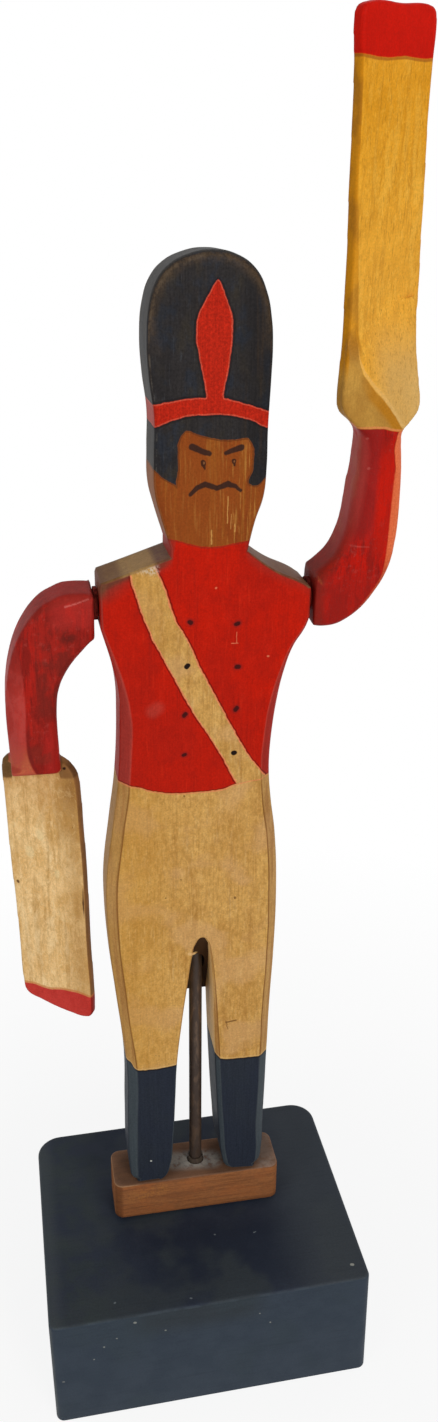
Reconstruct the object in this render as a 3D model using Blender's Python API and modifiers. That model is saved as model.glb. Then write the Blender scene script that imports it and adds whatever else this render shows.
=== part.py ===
"""Wooden soldier whirligig on a display block, at its real size in metres.

The figure is sawn from one board and stands on a short bar that turns on an upright steel
rod. Two carved arms that end in paddle blades sit on one axle through the shoulders and
spin in the wind. X runs to the viewer's right, Y away from the viewer and Z up. The origin
is the middle of the block's underside. Left and right are the viewer's.
"""

from math import cos, pi, radians, sin, tan

import bmesh
import bpy
from mathutils import Vector

for item in list(bpy.data.objects):
    bpy.data.objects.remove(item, do_unlink=True)

# Block
BASE_WIDTH = 0.158
BASE_DEPTH = 0.1245
BASE_HEIGHT = 0.0648
BASE_BACK_RADIUS = 0.0125
BASE_FRONT_RADIUS = 0.004
BASE_TOP_RADIUS = 0.003
BASE_FOOT_RADIUS = 0.001

# Upright rod: where it stands on the block, and how far it leans to the right
ROD_DIAMETER = 0.00635
ROD_DEPTH = 0.045
ROD_END_CHAMFER = 0.0008
PIVOT_RIGHT = 0.0027
PIVOT_BACK = 0.00765
LEAN = radians(0.87)

# Figure board, 1 in by 3 1/2 in stock
BOARD_WIDTH = 0.0889
BOARD_THICKNESS = 0.0254
BOARD_HEIGHT = 0.4468
BOARD_CHAMFER = 0.0048

# Foot bar under the boots
FOOT_BAR_WIDTH = 0.086
FOOT_BAR_HEIGHT = 0.022
FOOT_BAR_SHIFT = -0.0008
FOOT_BAR_CORNER_RADIUS = 0.0045
FOOT_BAR_EDGE_RADIUS = 0.001

# Metal tube that lines each hole that a rod turns in, and the thin washer under the bar
TUBE_WALL = 0.0006
FOOT_TUBE_RISE = 0.003
CROTCH_TUBE_LENGTH = 0.045
CROTCH_TUBE_SETBACK = 0.006
CROTCH_HOLE_SPARE = 0.004
ROD_TOP_SPARE = 0.002
FOOT_WASHER_DIAMETER = 0.016
FOOT_WASHER_THICKNESS = 0.0008
SHOULDER_WASHER_DIAMETER = 0.014
SHOULDER_WASHER_THICKNESS = 0.0016

# Countersunk screws that hold the bar under the boots
SCREW_DIAMETER = 0.0035
SCREW_HEAD_DIAMETER = 0.007
SCREW_HEAD_HEIGHT = 0.0025
SCREW_POINT = 0.005
SCREW_GRIP = 0.019
SCREW_RECESS = 0.0006

# Arms: the stock, how far out the blade stands from the shoulder face, how far along the
# wrist ends, and the paddle blade
ARM_STOCK = 0.021
LEFT_ARM_SPREAD = 0.0231
RIGHT_ARM_SPREAD = 0.0191
LEFT_ARM_CHAMFER = 0.0058
RIGHT_ARM_CHAMFER = 0.0038
WRIST_DROP = 0.076
AXLE_GRIP = 0.014
BLADE_WIDTH = 0.0358
BLADE_THICKNESS = 0.0052
BLADE_TIP = 0.2168
BLADE_CHAMFER = 0.0007
BLADE_PITCH = radians(29.2)
ROTOR_REST_TURN = radians(4.8)

# Long paring cut that runs the raised arm's root out into its blade: where it starts on
# the face, out from the blade's middle and along the arm, how its edge climbs to the
# inner side, and how steeply it goes in
PARING_OUT = 0.0131
PARING_ALONG = 0.0721
PARING_RUN = 0.0206
PARING_CLIMB = 0.0244
PARING_SLOPE = radians(23)

# Paring cut on the back of the same root: a point on it, and how it is pitched and falls
BACK_PARING_IN = 0.0131
BACK_PARING_DEPTH = 0.0015
BACK_PARING_ALONG = 0.080
BACK_PARING_PITCH = radians(25)
BACK_PARING_SLOPE = radians(10)

# Clearances, and how far a cutter runs past what it cuts
SEAT_GAP = 0.0003
CUT_OVERRUN = 0.004
CUTTER_REACH = 0.25

MERGE = 0.00001
ROUND_STEPS = 32
OUTLINE_STEPS = 3
FITTING_TRIES = 60
FITTING_SHARE = 0.9

# Outlines: each point is (across, up, is it a corner), across as a share of the board's
# width from the rod, up as a share of the board's height from the soles. The order is
# counter-clockwise, from the top of the hat down the viewer's left.
BOARD_OUTLINE_SHARES = [
    (0.051, 1.0, False), (-0.051, 0.9965, False), (-0.135, 0.988, False),
    (-0.188, 0.9755, False), (-0.218, 0.958, False), (-0.232, 0.9305, False),
    (-0.225, 0.8985, False),
    (-0.205, 0.865, False), (-0.208, 0.8315, False), (-0.206, 0.800, False),
    (-0.179, 0.7775, False), (-0.137, 0.7495, True), (-0.138, 0.741, True),
    (-0.336, 0.7275, False), (-0.458, 0.7195, True), (-0.4645, 0.716, True),
    (-0.4645, 0.675, True), (-0.4185, 0.641, False), (-0.388, 0.6095, False),
    (-0.386, 0.576, False), (-0.404, 0.511, False), (-0.437, 0.462, False),
    (-0.475, 0.4035, False), (-0.480, 0.372, False), (-0.468, 0.312, False),
    (-0.432, 0.2355, False), (-0.398, 0.1595, False), (-0.4015, 0.0855, False),
    (-0.398, 0.018, False), (-0.388, 0.006, False), (-0.352, 0.0, True),
    (0.322, 0.0, True), (0.362, 0.008, False), (0.374, 0.0205, False),
    (0.3825, 0.070, False), (0.3915, 0.155, False), (0.400, 0.2245, False),
    (0.417, 0.3185, False), (0.4185, 0.381, False), (0.400, 0.444, False),
    (0.3745, 0.482, False), (0.361, 0.511, False), (0.363, 0.5425, False),
    (0.387, 0.5895, False), (0.416, 0.623, False), (0.453, 0.648, False),
    (0.511, 0.668, False), (0.5275, 0.677, True), (0.5275, 0.706, True),
    (0.480, 0.7125, False), (0.350, 0.725, False), (0.219, 0.744, True),
    (0.253, 0.772, False), (0.289, 0.794, False), (0.300, 0.820, False),
    (0.3015, 0.8535, False), (0.3115, 0.8985, False), (0.315, 0.923, False),
    (0.308, 0.9455, False), (0.289, 0.9655, False), (0.241, 0.9845, False),
    (0.152, 0.9965, False),
]
LEFT_SHOULDER_SHARE = 0.4645
RIGHT_SHOULDER_SHARE = 0.5275
AXLE_HEIGHT_SHARE = 0.693
CROTCH_HEIGHT_SHARE = 0.3286

# Share of the full chamfer along the board's edges, by height
CHAMFER_BY_HEIGHT_SHARES = [
    (0.0, 0.75), (0.05, 0.95), (0.58, 1.0), (0.66, 0.35), (0.74, 0.3), (0.8, 0.28),
    (0.94, 0.3), (0.98, 0.75), (1.0, 0.8),
]

# Slot between the legs, in the same shares, wider at the rounded toes
SLOT_OUTLINE_SHARES = [
    (0.014, 0.3286, False), (-0.022, 0.321, False), (-0.041, 0.305, False),
    (-0.064, 0.2725, False), (-0.098, 0.2195, False), (-0.126, 0.1655, False),
    (-0.136, 0.120, False), (-0.151, 0.058, False), (-0.168, 0.022, False),
    (-0.196, 0.006, False), (-0.235, 0.0, True), (-0.235, -0.02, True),
    (0.208, -0.02, True), (0.208, 0.0, True), (0.160, 0.006, False),
    (0.137, 0.022, False), (0.119, 0.061, False), (0.099, 0.131, False),
    (0.085, 0.199, False), (0.067, 0.285, False), (0.055, 0.308, False),
    (0.041, 0.323, False),
]

# Screw places, across the board
SCREW_PLACE_SHARES = [("left", -0.275), ("right", 0.255)]

# Arms seen from the front: out from the shoulder face as a share of the spread, and along
# from the axle as a share of the wrist's drop
LEFT_ARM_SHARES = [
    (0.723, 1.0, True), (0.723, 0.849, False), (0.736, 0.718, False), (0.732, 0.592, False),
    (0.68, 0.466, False), (0.506, 0.347, False), (0.208, 0.232, False), (0.0, 0.166, True),
    (0.0, -0.091, True), (0.173, -0.097, False), (0.355, -0.099, False), (0.537, -0.093, False),
    (0.723, -0.07, False), (0.909, -0.038, False), (1.069, 0.008, False), (1.242, 0.079, False),
    (1.403, 0.171, False), (1.532, 0.289, False), (1.619, 0.421, False), (1.658, 0.553, False),
    (1.662, 0.684, False), (1.649, 0.816, False), (1.632, 1.0, True),
]
RIGHT_ARM_SHARES = [
    (0.44, 2.079, True), (0.403, 1.789, False), (0.351, 1.513, False), (0.309, 1.316, False),
    (0.298, 1.184, False), (0.288, 1.105, False), (0.34, 1.05, False), (0.497, 0.997, False),
    (0.675, 0.953, False), (0.796, 0.908, False), (0.827, 0.855, False), (0.832, 0.783, False),
    (0.832, 0.697, False), (0.791, 0.616, False), (0.754, 0.503, False), (0.707, 0.408, False),
    (0.639, 0.342, False), (0.455, 0.239, False), (0.225, 0.178, False), (0.079, 0.147, False),
    (0.0, 0.137, True), (0.0, -0.151, True), (0.11, -0.159, False), (0.325, -0.162, False),
    (0.555, -0.153, False), (0.775, -0.125, False), (0.995, -0.084, False),
    (1.204, -0.029, False), (1.398, 0.042, False), (1.55, 0.108, False), (1.691, 0.211, False),
    (1.754, 0.329, False), (1.78, 0.447, False), (1.78, 0.559, False), (1.77, 0.671, False),
    (1.749, 0.763, False), (1.712, 0.855, False), (1.686, 0.934, False), (1.791, 0.972, False),
    (1.927, 1.003, False), (2.031, 1.039, False), (2.058, 1.089, False), (2.031, 1.158, False),
    (1.984, 1.258, False), (1.953, 1.336, False), (1.948, 1.421, False), (1.942, 1.605, False),
    (1.911, 1.842, False), (1.859, 2.079, True),
]

# Blades: across as a share of their width, along as a share of the tip's distance
LEFT_BLADE_SHARES = [
    (0.405, 0.9732, False), (0.223, 0.9829, False), (0.0, 0.9935, False), (-0.223, 1.0, False),
    (-0.447, 1.0018, False), (-0.534, 0.9935, False), (-0.55, 0.9732, False),
    (-0.547, 0.9041, False), (-0.522, 0.7934, False), (-0.514, 0.6827, False),
    (-0.503, 0.5766, False), (-0.475, 0.4751, False), (-0.458, 0.4013, False),
    (-0.441, 0.3736, False), (-0.416, 0.3565, False), (-0.363, 0.3436, False),
    (-0.285, 0.3326, False), (-0.193, 0.3256, False), (-0.056, 0.3137, False),
    (0.223, 0.3137, False), (0.405, 0.3303, False), (0.478, 0.3399, False),
    (0.553, 0.3506, False), (0.575, 0.3667, False), (0.578, 0.3828, False),
    (0.57, 0.4244, False), (0.559, 0.4982, False), (0.545, 0.6042, False),
    (0.514, 0.7103, False), (0.497, 0.821, False), (0.48, 0.9363, False),
    (0.458, 0.9617, False),
]
RIGHT_BLADE_SHARES = [
    (0.385, 1.0005, False), (0.0, 1.0, False), (-0.464, 0.9986, False), (-0.55, 0.9912, False),
    (-0.57, 0.9742, False), (-0.534, 0.9179, False), (-0.503, 0.8349, False),
    (-0.486, 0.7472, False), (-0.453, 0.655, False), (-0.433, 0.5581, False),
    (-0.422, 0.4889, False), (-0.433, 0.4382, False), (-0.441, 0.3851, False),
    (-0.411, 0.3667, False), (-0.321, 0.3524, False), (-0.223, 0.3413, False),
    (-0.14, 0.3275, False), (-0.084, 0.309, False), (0.168, 0.3044, False),
    (0.385, 0.3229, False), (0.511, 0.3644, False), (0.553, 0.4197, False),
    (0.598, 0.4889, False), (0.615, 0.5443, False), (0.57, 0.6458, False),
    (0.536, 0.7426, False), (0.494, 0.8349, False), (0.48, 0.9225, False),
    (0.483, 0.9779, False), (0.447, 0.9958, False),
]

# Share of an arm's chamfer along its outer and inner edges, by the same distance, and how
# it fades where the wrist widens into the pared root
OUTER_CHAMFER_SHARES = [(-0.2, 0.5), (0.4, 0.5), (0.85, 1.0), (1.0, 1.0)]
INNER_CHAMFER_SHARE = 0.5
ROOT_CHAMFER_SHARES = [(0.85, 1.0), (0.98, 0.25), (2.0, 0.25)]

# Sizes and places that follow from those above, in the leaning figure's own frame
ROD_RADIUS = ROD_DIAMETER / 2
TUBE_INNER_RADIUS = ROD_RADIUS + SEAT_GAP
TUBE_OUTER_RADIUS = TUBE_INNER_RADIUS + TUBE_WALL
TUBE_HOLE_RADIUS = TUBE_OUTER_RADIUS + SEAT_GAP
WASHER_LOW = SEAT_GAP + FOOT_WASHER_DIAMETER / 2 * tan(LEAN)
BAR_LOW = WASHER_LOW + FOOT_WASHER_THICKNESS + SEAT_GAP
BAR_TOP = BAR_LOW + FOOT_BAR_HEIGHT
SOLE = BAR_TOP + SEAT_GAP
CROTCH = SOLE + CROTCH_HEIGHT_SHARE * BOARD_HEIGHT
CROTCH_TUBE_LOW = CROTCH + CROTCH_TUBE_SETBACK
CROTCH_TUBE_TOP = CROTCH_TUBE_LOW + CROTCH_TUBE_LENGTH
CROTCH_HOLE_TOP = CROTCH_TUBE_TOP + CROTCH_HOLE_SPARE
ROD_TOP = CROTCH_HOLE_TOP - ROD_TOP_SPARE
AXLE_HEIGHT = SOLE + AXLE_HEIGHT_SHARE * BOARD_HEIGHT
LEFT_SHOULDER = LEFT_SHOULDER_SHARE * BOARD_WIDTH
RIGHT_SHOULDER = RIGHT_SHOULDER_SHARE * BOARD_WIDTH
ARM_STANDOFF = SHOULDER_WASHER_THICKNESS + 2 * SEAT_GAP
LEFT_ARM_FACE = LEFT_SHOULDER + ARM_STANDOFF
RIGHT_ARM_FACE = RIGHT_SHOULDER + ARM_STANDOFF


def new_collection(name):
    """A collection linked to the scene."""
    group = bpy.data.collections.new(name)
    bpy.context.scene.collection.children.link(group)
    return group


PARTS = new_collection("soldier_whirligig")
CUTTERS = new_collection("cutters")


def empty(name, location, rotation, parent=None):
    """An axis that pieces hang on."""
    axis = bpy.data.objects.new(name, None)
    axis.location = location
    axis.rotation_euler = rotation
    axis.parent = parent
    PARTS.objects.link(axis)
    return axis


def new_object(name, mesh, parent=None):
    """A part's object, at its parent's origin."""
    obj = bpy.data.objects.new(name, mesh)
    obj.parent = parent
    PARTS.objects.link(obj)
    return obj


def as_cutter(obj):
    """Keeps an object as a guide for Booleans only."""
    PARTS.objects.unlink(obj)
    CUTTERS.objects.link(obj)
    obj.display_type = "WIRE"
    obj.hide_render = True
    return obj


def combine(target, tool, operation="DIFFERENCE"):
    """Cuts a tool out of a target, or joins it on."""
    step = target.modifiers.new(tool.name, "BOOLEAN")
    step.operation = operation
    step.solver = "EXACT"
    step.object = tool


def paint(obj, name, colour, roughness, metallic=0.0):
    """Gives an object its own material."""
    surface = bpy.data.materials.new(name)
    surface.use_nodes = True
    shader = surface.node_tree.nodes["Principled BSDF"]
    shader.inputs["Base Color"].default_value = (*colour, 1.0)
    shader.inputs["Roughness"].default_value = roughness
    shader.inputs["Metallic"].default_value = metallic
    surface.diffuse_color = (*colour, 1.0)
    obj.data.materials.clear()
    obj.data.materials.append(surface)


def turned(name, profile, parent=None, closed=False):
    """A turned piece about Z. The profile is (radius, height) points down its outer side."""
    mesh = bpy.data.meshes.new(name)
    shape = bmesh.new()
    points = [shape.verts.new((radius, 0.0, height)) for radius, height in profile]
    for start, end in zip(points, points[1:]):
        shape.edges.new((start, end))
    if closed:
        shape.edges.new((points[-1], points[0]))
    shape.to_mesh(mesh)
    shape.free()
    obj = new_object(name, mesh, parent)
    spin = obj.modifiers.new("turn", "SCREW")
    spin.steps = ROUND_STEPS
    spin.render_steps = ROUND_STEPS
    spin.use_merge_vertices = True
    spin.merge_threshold = MERGE
    spin.use_smooth_shade = True
    return obj


def rod(name, radius, low, high, chamfer, parent=None):
    """A round bar along Z with both ends chamfered."""
    profile = [
        (0.0, high), (radius - chamfer, high), (radius, high - chamfer),
        (radius, low + chamfer), (radius - chamfer, low), (0.0, low),
    ]
    return turned(name, profile, parent)


def drill(name, radius, low, high, parent=None):
    """A plain round cutter along Z."""
    return as_cutter(turned(name, [(0.0, high), (radius, high), (radius, low), (0.0, low)], parent))


def ring(name, inner, outer, low, high, parent=None):
    """A tube or a washer about Z."""
    profile = [(outer, high), (outer, low), (inner, low), (inner, high)]
    return turned(name, profile, parent, closed=True)


def bevel(shape, chosen, width, segments):
    """Rounds the edges of a mesh for which a test of the edge's two ends is true."""
    edges = [e for e in shape.edges if chosen(e.verts[0].co, e.verts[1].co)]
    bmesh.ops.bevel(
        shape, geom=edges, offset=width, segments=segments, profile=0.5, affect="EDGES")


def rounded_block(name, width, depth, low, high, corners, rims, segments, parent=None):
    """A block with rounded upright corners, front and back, and rounded rims, low and high."""
    mesh = bpy.data.meshes.new(name)
    shape = bmesh.new()
    bmesh.ops.create_cube(shape, size=1.0)
    bmesh.ops.scale(shape, vec=(width, depth, high - low), verts=shape.verts)
    bmesh.ops.translate(shape, vec=(0.0, 0.0, (high + low) / 2), verts=shape.verts)
    middle = (high + low) / 2
    for side, corner in zip((-1, 1), corners):
        bevel(shape, lambda a, b: (a.z - middle) * (b.z - middle) < 0 < side * a.y
              and abs(a.x) > width / 2 - MERGE and side * a.y > depth / 2 - MERGE, corner, segments)
    for side, rim in zip((-1, 1), rims):
        bevel(shape, lambda a, b: side * (a.z - middle) > 0 and side * (b.z - middle) > 0, rim, 3)
    shape.to_mesh(mesh)
    shape.free()
    return new_object(name, mesh, parent)


def smooth_outline(points):
    """Runs a closed curve through (x, z, corner) points and returns its (x, z) points."""
    curve = bpy.data.curves.new("outline", "CURVE")
    curve.dimensions = "2D"
    curve.fill_mode = "NONE"
    curve.resolution_u = OUTLINE_STEPS
    line = curve.splines.new("BEZIER")
    line.bezier_points.add(len(points) - 1)
    line.use_cyclic_u = True
    for knot, (x, z, corner) in zip(line.bezier_points, points):
        knot.co = (x, z, 0.0)
        knot.handle_left_type = "VECTOR" if corner else "AUTO"
        knot.handle_right_type = knot.handle_left_type
    holder = bpy.data.objects.new("outline", curve)
    bpy.context.scene.collection.objects.link(holder)
    graph = bpy.context.evaluated_depsgraph_get()
    traced = bpy.data.meshes.new_from_object(holder.evaluated_get(graph))
    outline = [(v.co.x, v.co.y) for v in traced.vertices]
    bpy.data.meshes.remove(traced)
    bpy.data.objects.remove(holder, do_unlink=True)
    bpy.data.curves.remove(curve)
    return outline


def inset(outline, index, amount):
    """An outline's point moved inwards by an amount, square to both of its edges."""
    here = Vector(outline[index])
    before = here - Vector(outline[index - 1])
    after = Vector(outline[(index + 1) % len(outline)]) - here
    first = Vector((-before.y, before.x)).normalized()
    second = Vector((-after.y, after.x)).normalized()
    return here + (first + second) * amount / (1 + first.dot(second))


def fitted(outline, chamfers):
    """Narrows the chamfers at a tight corner until their inner line no longer crosses itself."""
    amounts = list(chamfers)
    for _ in range(FITTING_TRIES):
        inner = [inset(outline, index, amount) for index, amount in enumerate(amounts)]
        crossed = [
            index for index, start in enumerate(inner)
            if (inner[index - 1] - start).dot(Vector(outline[index - 1]) - Vector(outline[index])) <= 0
        ]
        if not crossed:
            break
        for index in crossed:
            amounts[index] *= FITTING_SHARE
            amounts[index - 1] *= FITTING_SHARE
    return amounts


def carved_plank(name, outline, thickness, chamfers, parent=None):
    """A plank in the XZ plane, sawn to an outline, with its long edges whittled off.

    Each point has its own chamfer, so the whittling can fade along the edge.
    """
    shape = bmesh.new()
    chamfers = fitted(outline, chamfers)
    loops = []
    for side, on_face in ((-1, True), (-1, False), (1, False), (1, True)):
        loop = []
        for index, amount in enumerate(chamfers):
            x, z = inset(outline, index, amount) if on_face else outline[index]
            depth = thickness / 2 if on_face else thickness / 2 - amount
            loop.append(shape.verts.new((x, side * depth, z)))
        loops.append(loop)
    rims = [[shape.edges.new((a, b)) for a, b in zip(loop, loop[1:] + loop[:1])] for loop in loops]
    for near, far in zip(rims, rims[1:]):
        bmesh.ops.bridge_loops(shape, edges=near + far)
    shape.faces.new(loops[0])
    shape.faces.new(loops[-1])
    bmesh.ops.recalc_face_normals(shape, faces=shape.faces)
    mesh = bpy.data.meshes.new(name)
    shape.to_mesh(mesh)
    shape.free()
    return new_object(name, mesh, parent)


def between(table, where):
    """Reads a value from a table of (place, value) pairs, straight between its rows."""
    for (low, first), (high, second) in zip(table, table[1:]):
        if where <= high:
            return first + (second - first) * max(0.0, where - low) / (high - low)
    return table[-1][1]


def scaled(points):
    """Board outline shares as places in the figure's frame."""
    return [(x * BOARD_WIDTH, SOLE + z * BOARD_HEIGHT, corner) for x, z, corner in points]


def half_space(name, point, normal, parent):
    """A large cutter that takes away all that lies past a plane."""
    mesh = bpy.data.meshes.new(name)
    shape = bmesh.new()
    bmesh.ops.create_cube(shape, size=CUTTER_REACH)
    shape.to_mesh(mesh)
    shape.free()
    obj = new_object(name, mesh, parent)
    obj.location = point + normal * CUTTER_REACH / 2
    obj.rotation_mode = "QUATERNION"
    obj.rotation_quaternion = normal.to_track_quat("Z", "Y")
    return as_cutter(obj)


def screw_profile(grow, tail):
    """A countersunk screw with its head down, grown all round and with a tail below."""
    shank = SCREW_DIAMETER / 2 + grow
    head = SCREW_HEAD_DIAMETER / 2 + grow
    tip = FOOT_BAR_HEIGHT + SCREW_GRIP
    low = BAR_LOW + SCREW_RECESS
    profile = [
        (0.0, low + tip + grow), (shank, low + tip - SCREW_POINT + grow),
        (shank, low + SCREW_HEAD_HEIGHT), (head, low), (0.0, low),
    ]
    if tail:
        profile[-1:] = [(head, low - tail), (0.0, low - tail)]
    return profile


def make_stand(axis):
    """The block, the rod fixed in it and the washer that the figure turns on."""
    block = rounded_block(
        "base_block", BASE_WIDTH, BASE_DEPTH, 0.0, BASE_HEIGHT,
        (BASE_FRONT_RADIUS, BASE_BACK_RADIUS), (BASE_FOOT_RADIUS, BASE_TOP_RADIUS), 6)
    socket = drill("rod_socket", ROD_RADIUS + SEAT_GAP, -ROD_DEPTH - SEAT_GAP, CUT_OVERRUN, axis)
    combine(block, socket)
    paint(block, "navy_paint", (0.022, 0.03, 0.043), 0.45)

    upright = rod("pivot_rod", ROD_RADIUS, -ROD_DEPTH, ROD_TOP, ROD_END_CHAMFER, axis)
    paint(upright, "dark_steel_rod", (0.09, 0.07, 0.06), 0.45, 0.8)

    washer = ring(
        "foot_washer", TUBE_INNER_RADIUS, FOOT_WASHER_DIAMETER / 2,
        WASHER_LOW, WASHER_LOW + FOOT_WASHER_THICKNESS, axis)
    paint(washer, "washer_steel", (0.3, 0.29, 0.28), 0.4, 0.9)


def make_foot_bar(axis):
    """The bar under the boots, with its tube and its two screws."""
    bar = rounded_block(
        "foot_bar", FOOT_BAR_WIDTH, BOARD_THICKNESS, BAR_LOW, BAR_TOP,
        (FOOT_BAR_CORNER_RADIUS,) * 2, (FOOT_BAR_EDGE_RADIUS,) * 2, 4, axis)
    bar.location.x = FOOT_BAR_SHIFT
    hole = drill("bar_hole", TUBE_HOLE_RADIUS, BAR_LOW - CUT_OVERRUN, BAR_TOP + CUT_OVERRUN, axis)
    combine(bar, hole)
    paint(bar, "brown_stain", (0.2, 0.07, 0.025), 0.6)

    tube = ring(
        "foot_bushing", TUBE_INNER_RADIUS, TUBE_OUTER_RADIUS,
        BAR_LOW, BAR_TOP + FOOT_TUBE_RISE, axis)
    paint(tube, "dark_tube", (0.07, 0.055, 0.05), 0.45, 0.8)
    return bar


def make_screws(axis, bar, board):
    """Two screws up through the bar into the boots, and their holes."""
    for side, share in SCREW_PLACE_SHARES:
        screw = turned("boot_screw_" + side, screw_profile(0.0, 0.0), axis)
        screw.location.x = share * BOARD_WIDTH
        paint(screw, "screw_steel_" + side, (0.35, 0.33, 0.3), 0.4, 0.9)
        hole = as_cutter(turned("screw_hole_" + side, screw_profile(SEAT_GAP, CUT_OVERRUN), axis))
        hole.location.x = share * BOARD_WIDTH
        combine(bar, hole)
        combine(board, hole)


def make_board(axis):
    """The figure: hat, head, body and legs in one board, with its holes."""
    outline = smooth_outline(scaled(BOARD_OUTLINE_SHARES))
    chamfers = [
        BOARD_CHAMFER * between(CHAMFER_BY_HEIGHT_SHARES, (z - SOLE) / BOARD_HEIGHT)
        for x, z in outline
    ]
    board = carved_plank("figure_board", outline, BOARD_THICKNESS, chamfers, axis)
    gap = smooth_outline(scaled(SLOT_OUTLINE_SHARES))
    through = BOARD_THICKNESS + 2 * CUT_OVERRUN
    slot = as_cutter(carved_plank("leg_slot", gap, through, [SEAT_GAP] * len(gap), axis))
    combine(board, slot)
    rod_hole = drill(
        "crotch_hole", TUBE_HOLE_RADIUS, CROTCH - CROTCH_TUBE_LENGTH, CROTCH_HOLE_TOP, axis)
    combine(board, rod_hole)
    axle_hole = drill(
        "axle_hole", TUBE_HOLE_RADIUS,
        -LEFT_SHOULDER - CUT_OVERRUN, RIGHT_SHOULDER + CUT_OVERRUN, axis)
    axle_hole.location.z = AXLE_HEIGHT
    axle_hole.rotation_euler.y = pi / 2
    combine(board, axle_hole)
    paint(board, "figure_paint", (0.5, 0.03, 0.02), 0.5)
    return board


def make_tubes(axis):
    """The tubes that line the crotch hole and the shoulder hole."""
    crotch = ring(
        "crotch_sleeve", TUBE_INNER_RADIUS, TUBE_OUTER_RADIUS,
        CROTCH_TUBE_LOW, CROTCH_TUBE_TOP, axis)
    paint(crotch, "crotch_tube", (0.45, 0.33, 0.12), 0.4, 0.9)
    shoulder = ring(
        "axle_sleeve", TUBE_INNER_RADIUS, TUBE_OUTER_RADIUS,
        -LEFT_SHOULDER, RIGHT_SHOULDER, axis)
    shoulder.location.z = AXLE_HEIGHT
    shoulder.rotation_euler.y = pi / 2
    paint(shoulder, "axle_tube", (0.45, 0.33, 0.12), 0.4, 0.9)


def arm_chamfers(outline, middle, full, pared):
    """The whittling is wider down the outer edge of the wrist, and fades on a pared root."""
    amounts = []
    for x, z in outline:
        along = z / WRIST_DROP
        share = between(OUTER_CHAMFER_SHARES, along) if x > middle else INNER_CHAMFER_SHARE
        fade = between(ROOT_CHAMFER_SHARES, along) if pared else 1.0
        amounts.append(full * share * fade)
    return amounts


def make_blade(side, shares, reach, parent):
    """The paddle blade, a thin board turned by its pitch about the arm's length."""
    outline = smooth_outline([(x * BLADE_WIDTH, z * BLADE_TIP, c) for x, z, c in shares])
    chamfers = [BLADE_CHAMFER] * len(outline)
    blade = carved_plank("blade_" + side, outline, BLADE_THICKNESS, chamfers, parent)
    blade.location.x = reach
    blade.rotation_euler.z = BLADE_PITCH
    return as_cutter(blade)


def pare(arm, side, reach, turn):
    """Cuts the root's front and back down to the blade."""
    edge = Vector((-PARING_RUN, 0.0, PARING_CLIMB)).normalized()
    across = Vector((edge.z, 0.0, -edge.x))
    start = Vector((reach + PARING_OUT, -ARM_STOCK / 2, PARING_ALONG))
    normal = across * sin(PARING_SLOPE) + Vector((0.0, -cos(PARING_SLOPE), 0.0))
    combine(arm, half_space("paring_front_" + side, start, normal, turn))
    level = Vector((-sin(BACK_PARING_PITCH), cos(BACK_PARING_PITCH), 0.0))
    start = Vector((reach - BACK_PARING_IN, -BACK_PARING_DEPTH, BACK_PARING_ALONG))
    normal = level * cos(BACK_PARING_SLOPE) + Vector((0.0, 0.0, sin(BACK_PARING_SLOPE)))
    combine(arm, half_space("paring_back_" + side, start, normal, turn))


def make_arm(side, shares, blade_shares, face, spread, chamfer, rotor):
    """One arm and its blade, carved from a single piece and pushed on the axle's end."""
    pared = side == "right"
    turn = empty("arm_frame_" + side, (0.0, 0.0, 0.0), (0.0, 0.0 if pared else pi, 0.0), rotor)
    reach = face + spread
    outline = smooth_outline([(face + x * spread, z * WRIST_DROP, c) for x, z, c in shares])
    chamfers = arm_chamfers(outline, reach, chamfer, pared)
    arm = carved_plank("arm_" + side, outline, ARM_STOCK, chamfers, turn)
    if pared:
        pare(arm, side, reach, turn)
    combine(arm, make_blade(side, blade_shares, reach, turn), "UNION")
    depth = face + AXLE_GRIP + SEAT_GAP
    bore = drill("arm_bore_" + side, ROD_RADIUS + SEAT_GAP, face - CUT_OVERRUN, depth, turn)
    bore.rotation_euler.y = pi / 2
    combine(arm, bore)
    paint(arm, "arm_paint_" + side, (0.33, 0.02, 0.015), 0.5)


def make_rotor(rotor):
    """The axle, its washers and the two arms, set on it half a turn apart."""
    axle = rod(
        "arm_axle", ROD_RADIUS, -LEFT_ARM_FACE - AXLE_GRIP, RIGHT_ARM_FACE + AXLE_GRIP,
        ROD_END_CHAMFER, rotor)
    axle.rotation_euler.y = pi / 2
    paint(axle, "axle_steel", (0.12, 0.1, 0.09), 0.45, 0.8)
    washer_radius = SHOULDER_WASHER_DIAMETER / 2
    for side, low in (("left", -LEFT_SHOULDER - SEAT_GAP - SHOULDER_WASHER_THICKNESS),
                      ("right", RIGHT_SHOULDER + SEAT_GAP)):
        washer = ring(
            "shoulder_washer_" + side, TUBE_INNER_RADIUS, washer_radius,
            low, low + SHOULDER_WASHER_THICKNESS, rotor)
        washer.rotation_euler.y = pi / 2
        paint(washer, "shoulder_washer_steel_" + side, (0.1, 0.05, 0.045), 0.5, 0.6)
    make_arm(
        "left", LEFT_ARM_SHARES, LEFT_BLADE_SHARES,
        LEFT_ARM_FACE, LEFT_ARM_SPREAD, LEFT_ARM_CHAMFER, rotor)
    make_arm(
        "right", RIGHT_ARM_SHARES, RIGHT_BLADE_SHARES,
        RIGHT_ARM_FACE, RIGHT_ARM_SPREAD, RIGHT_ARM_CHAMFER, rotor)


def main():
    """Builds the stand, the figure and the rotor."""
    axis = empty("pivot_axis", (PIVOT_RIGHT, PIVOT_BACK, BASE_HEIGHT), (0.0, LEAN, 0.0))
    make_stand(axis)
    bar = make_foot_bar(axis)
    board = make_board(axis)
    make_screws(axis, bar, board)
    make_tubes(axis)
    rotor = empty("rotor_axis", (0.0, 0.0, AXLE_HEIGHT), (ROTOR_REST_TURN, 0.0, 0.0), axis)
    make_rotor(rotor)


main()
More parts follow.
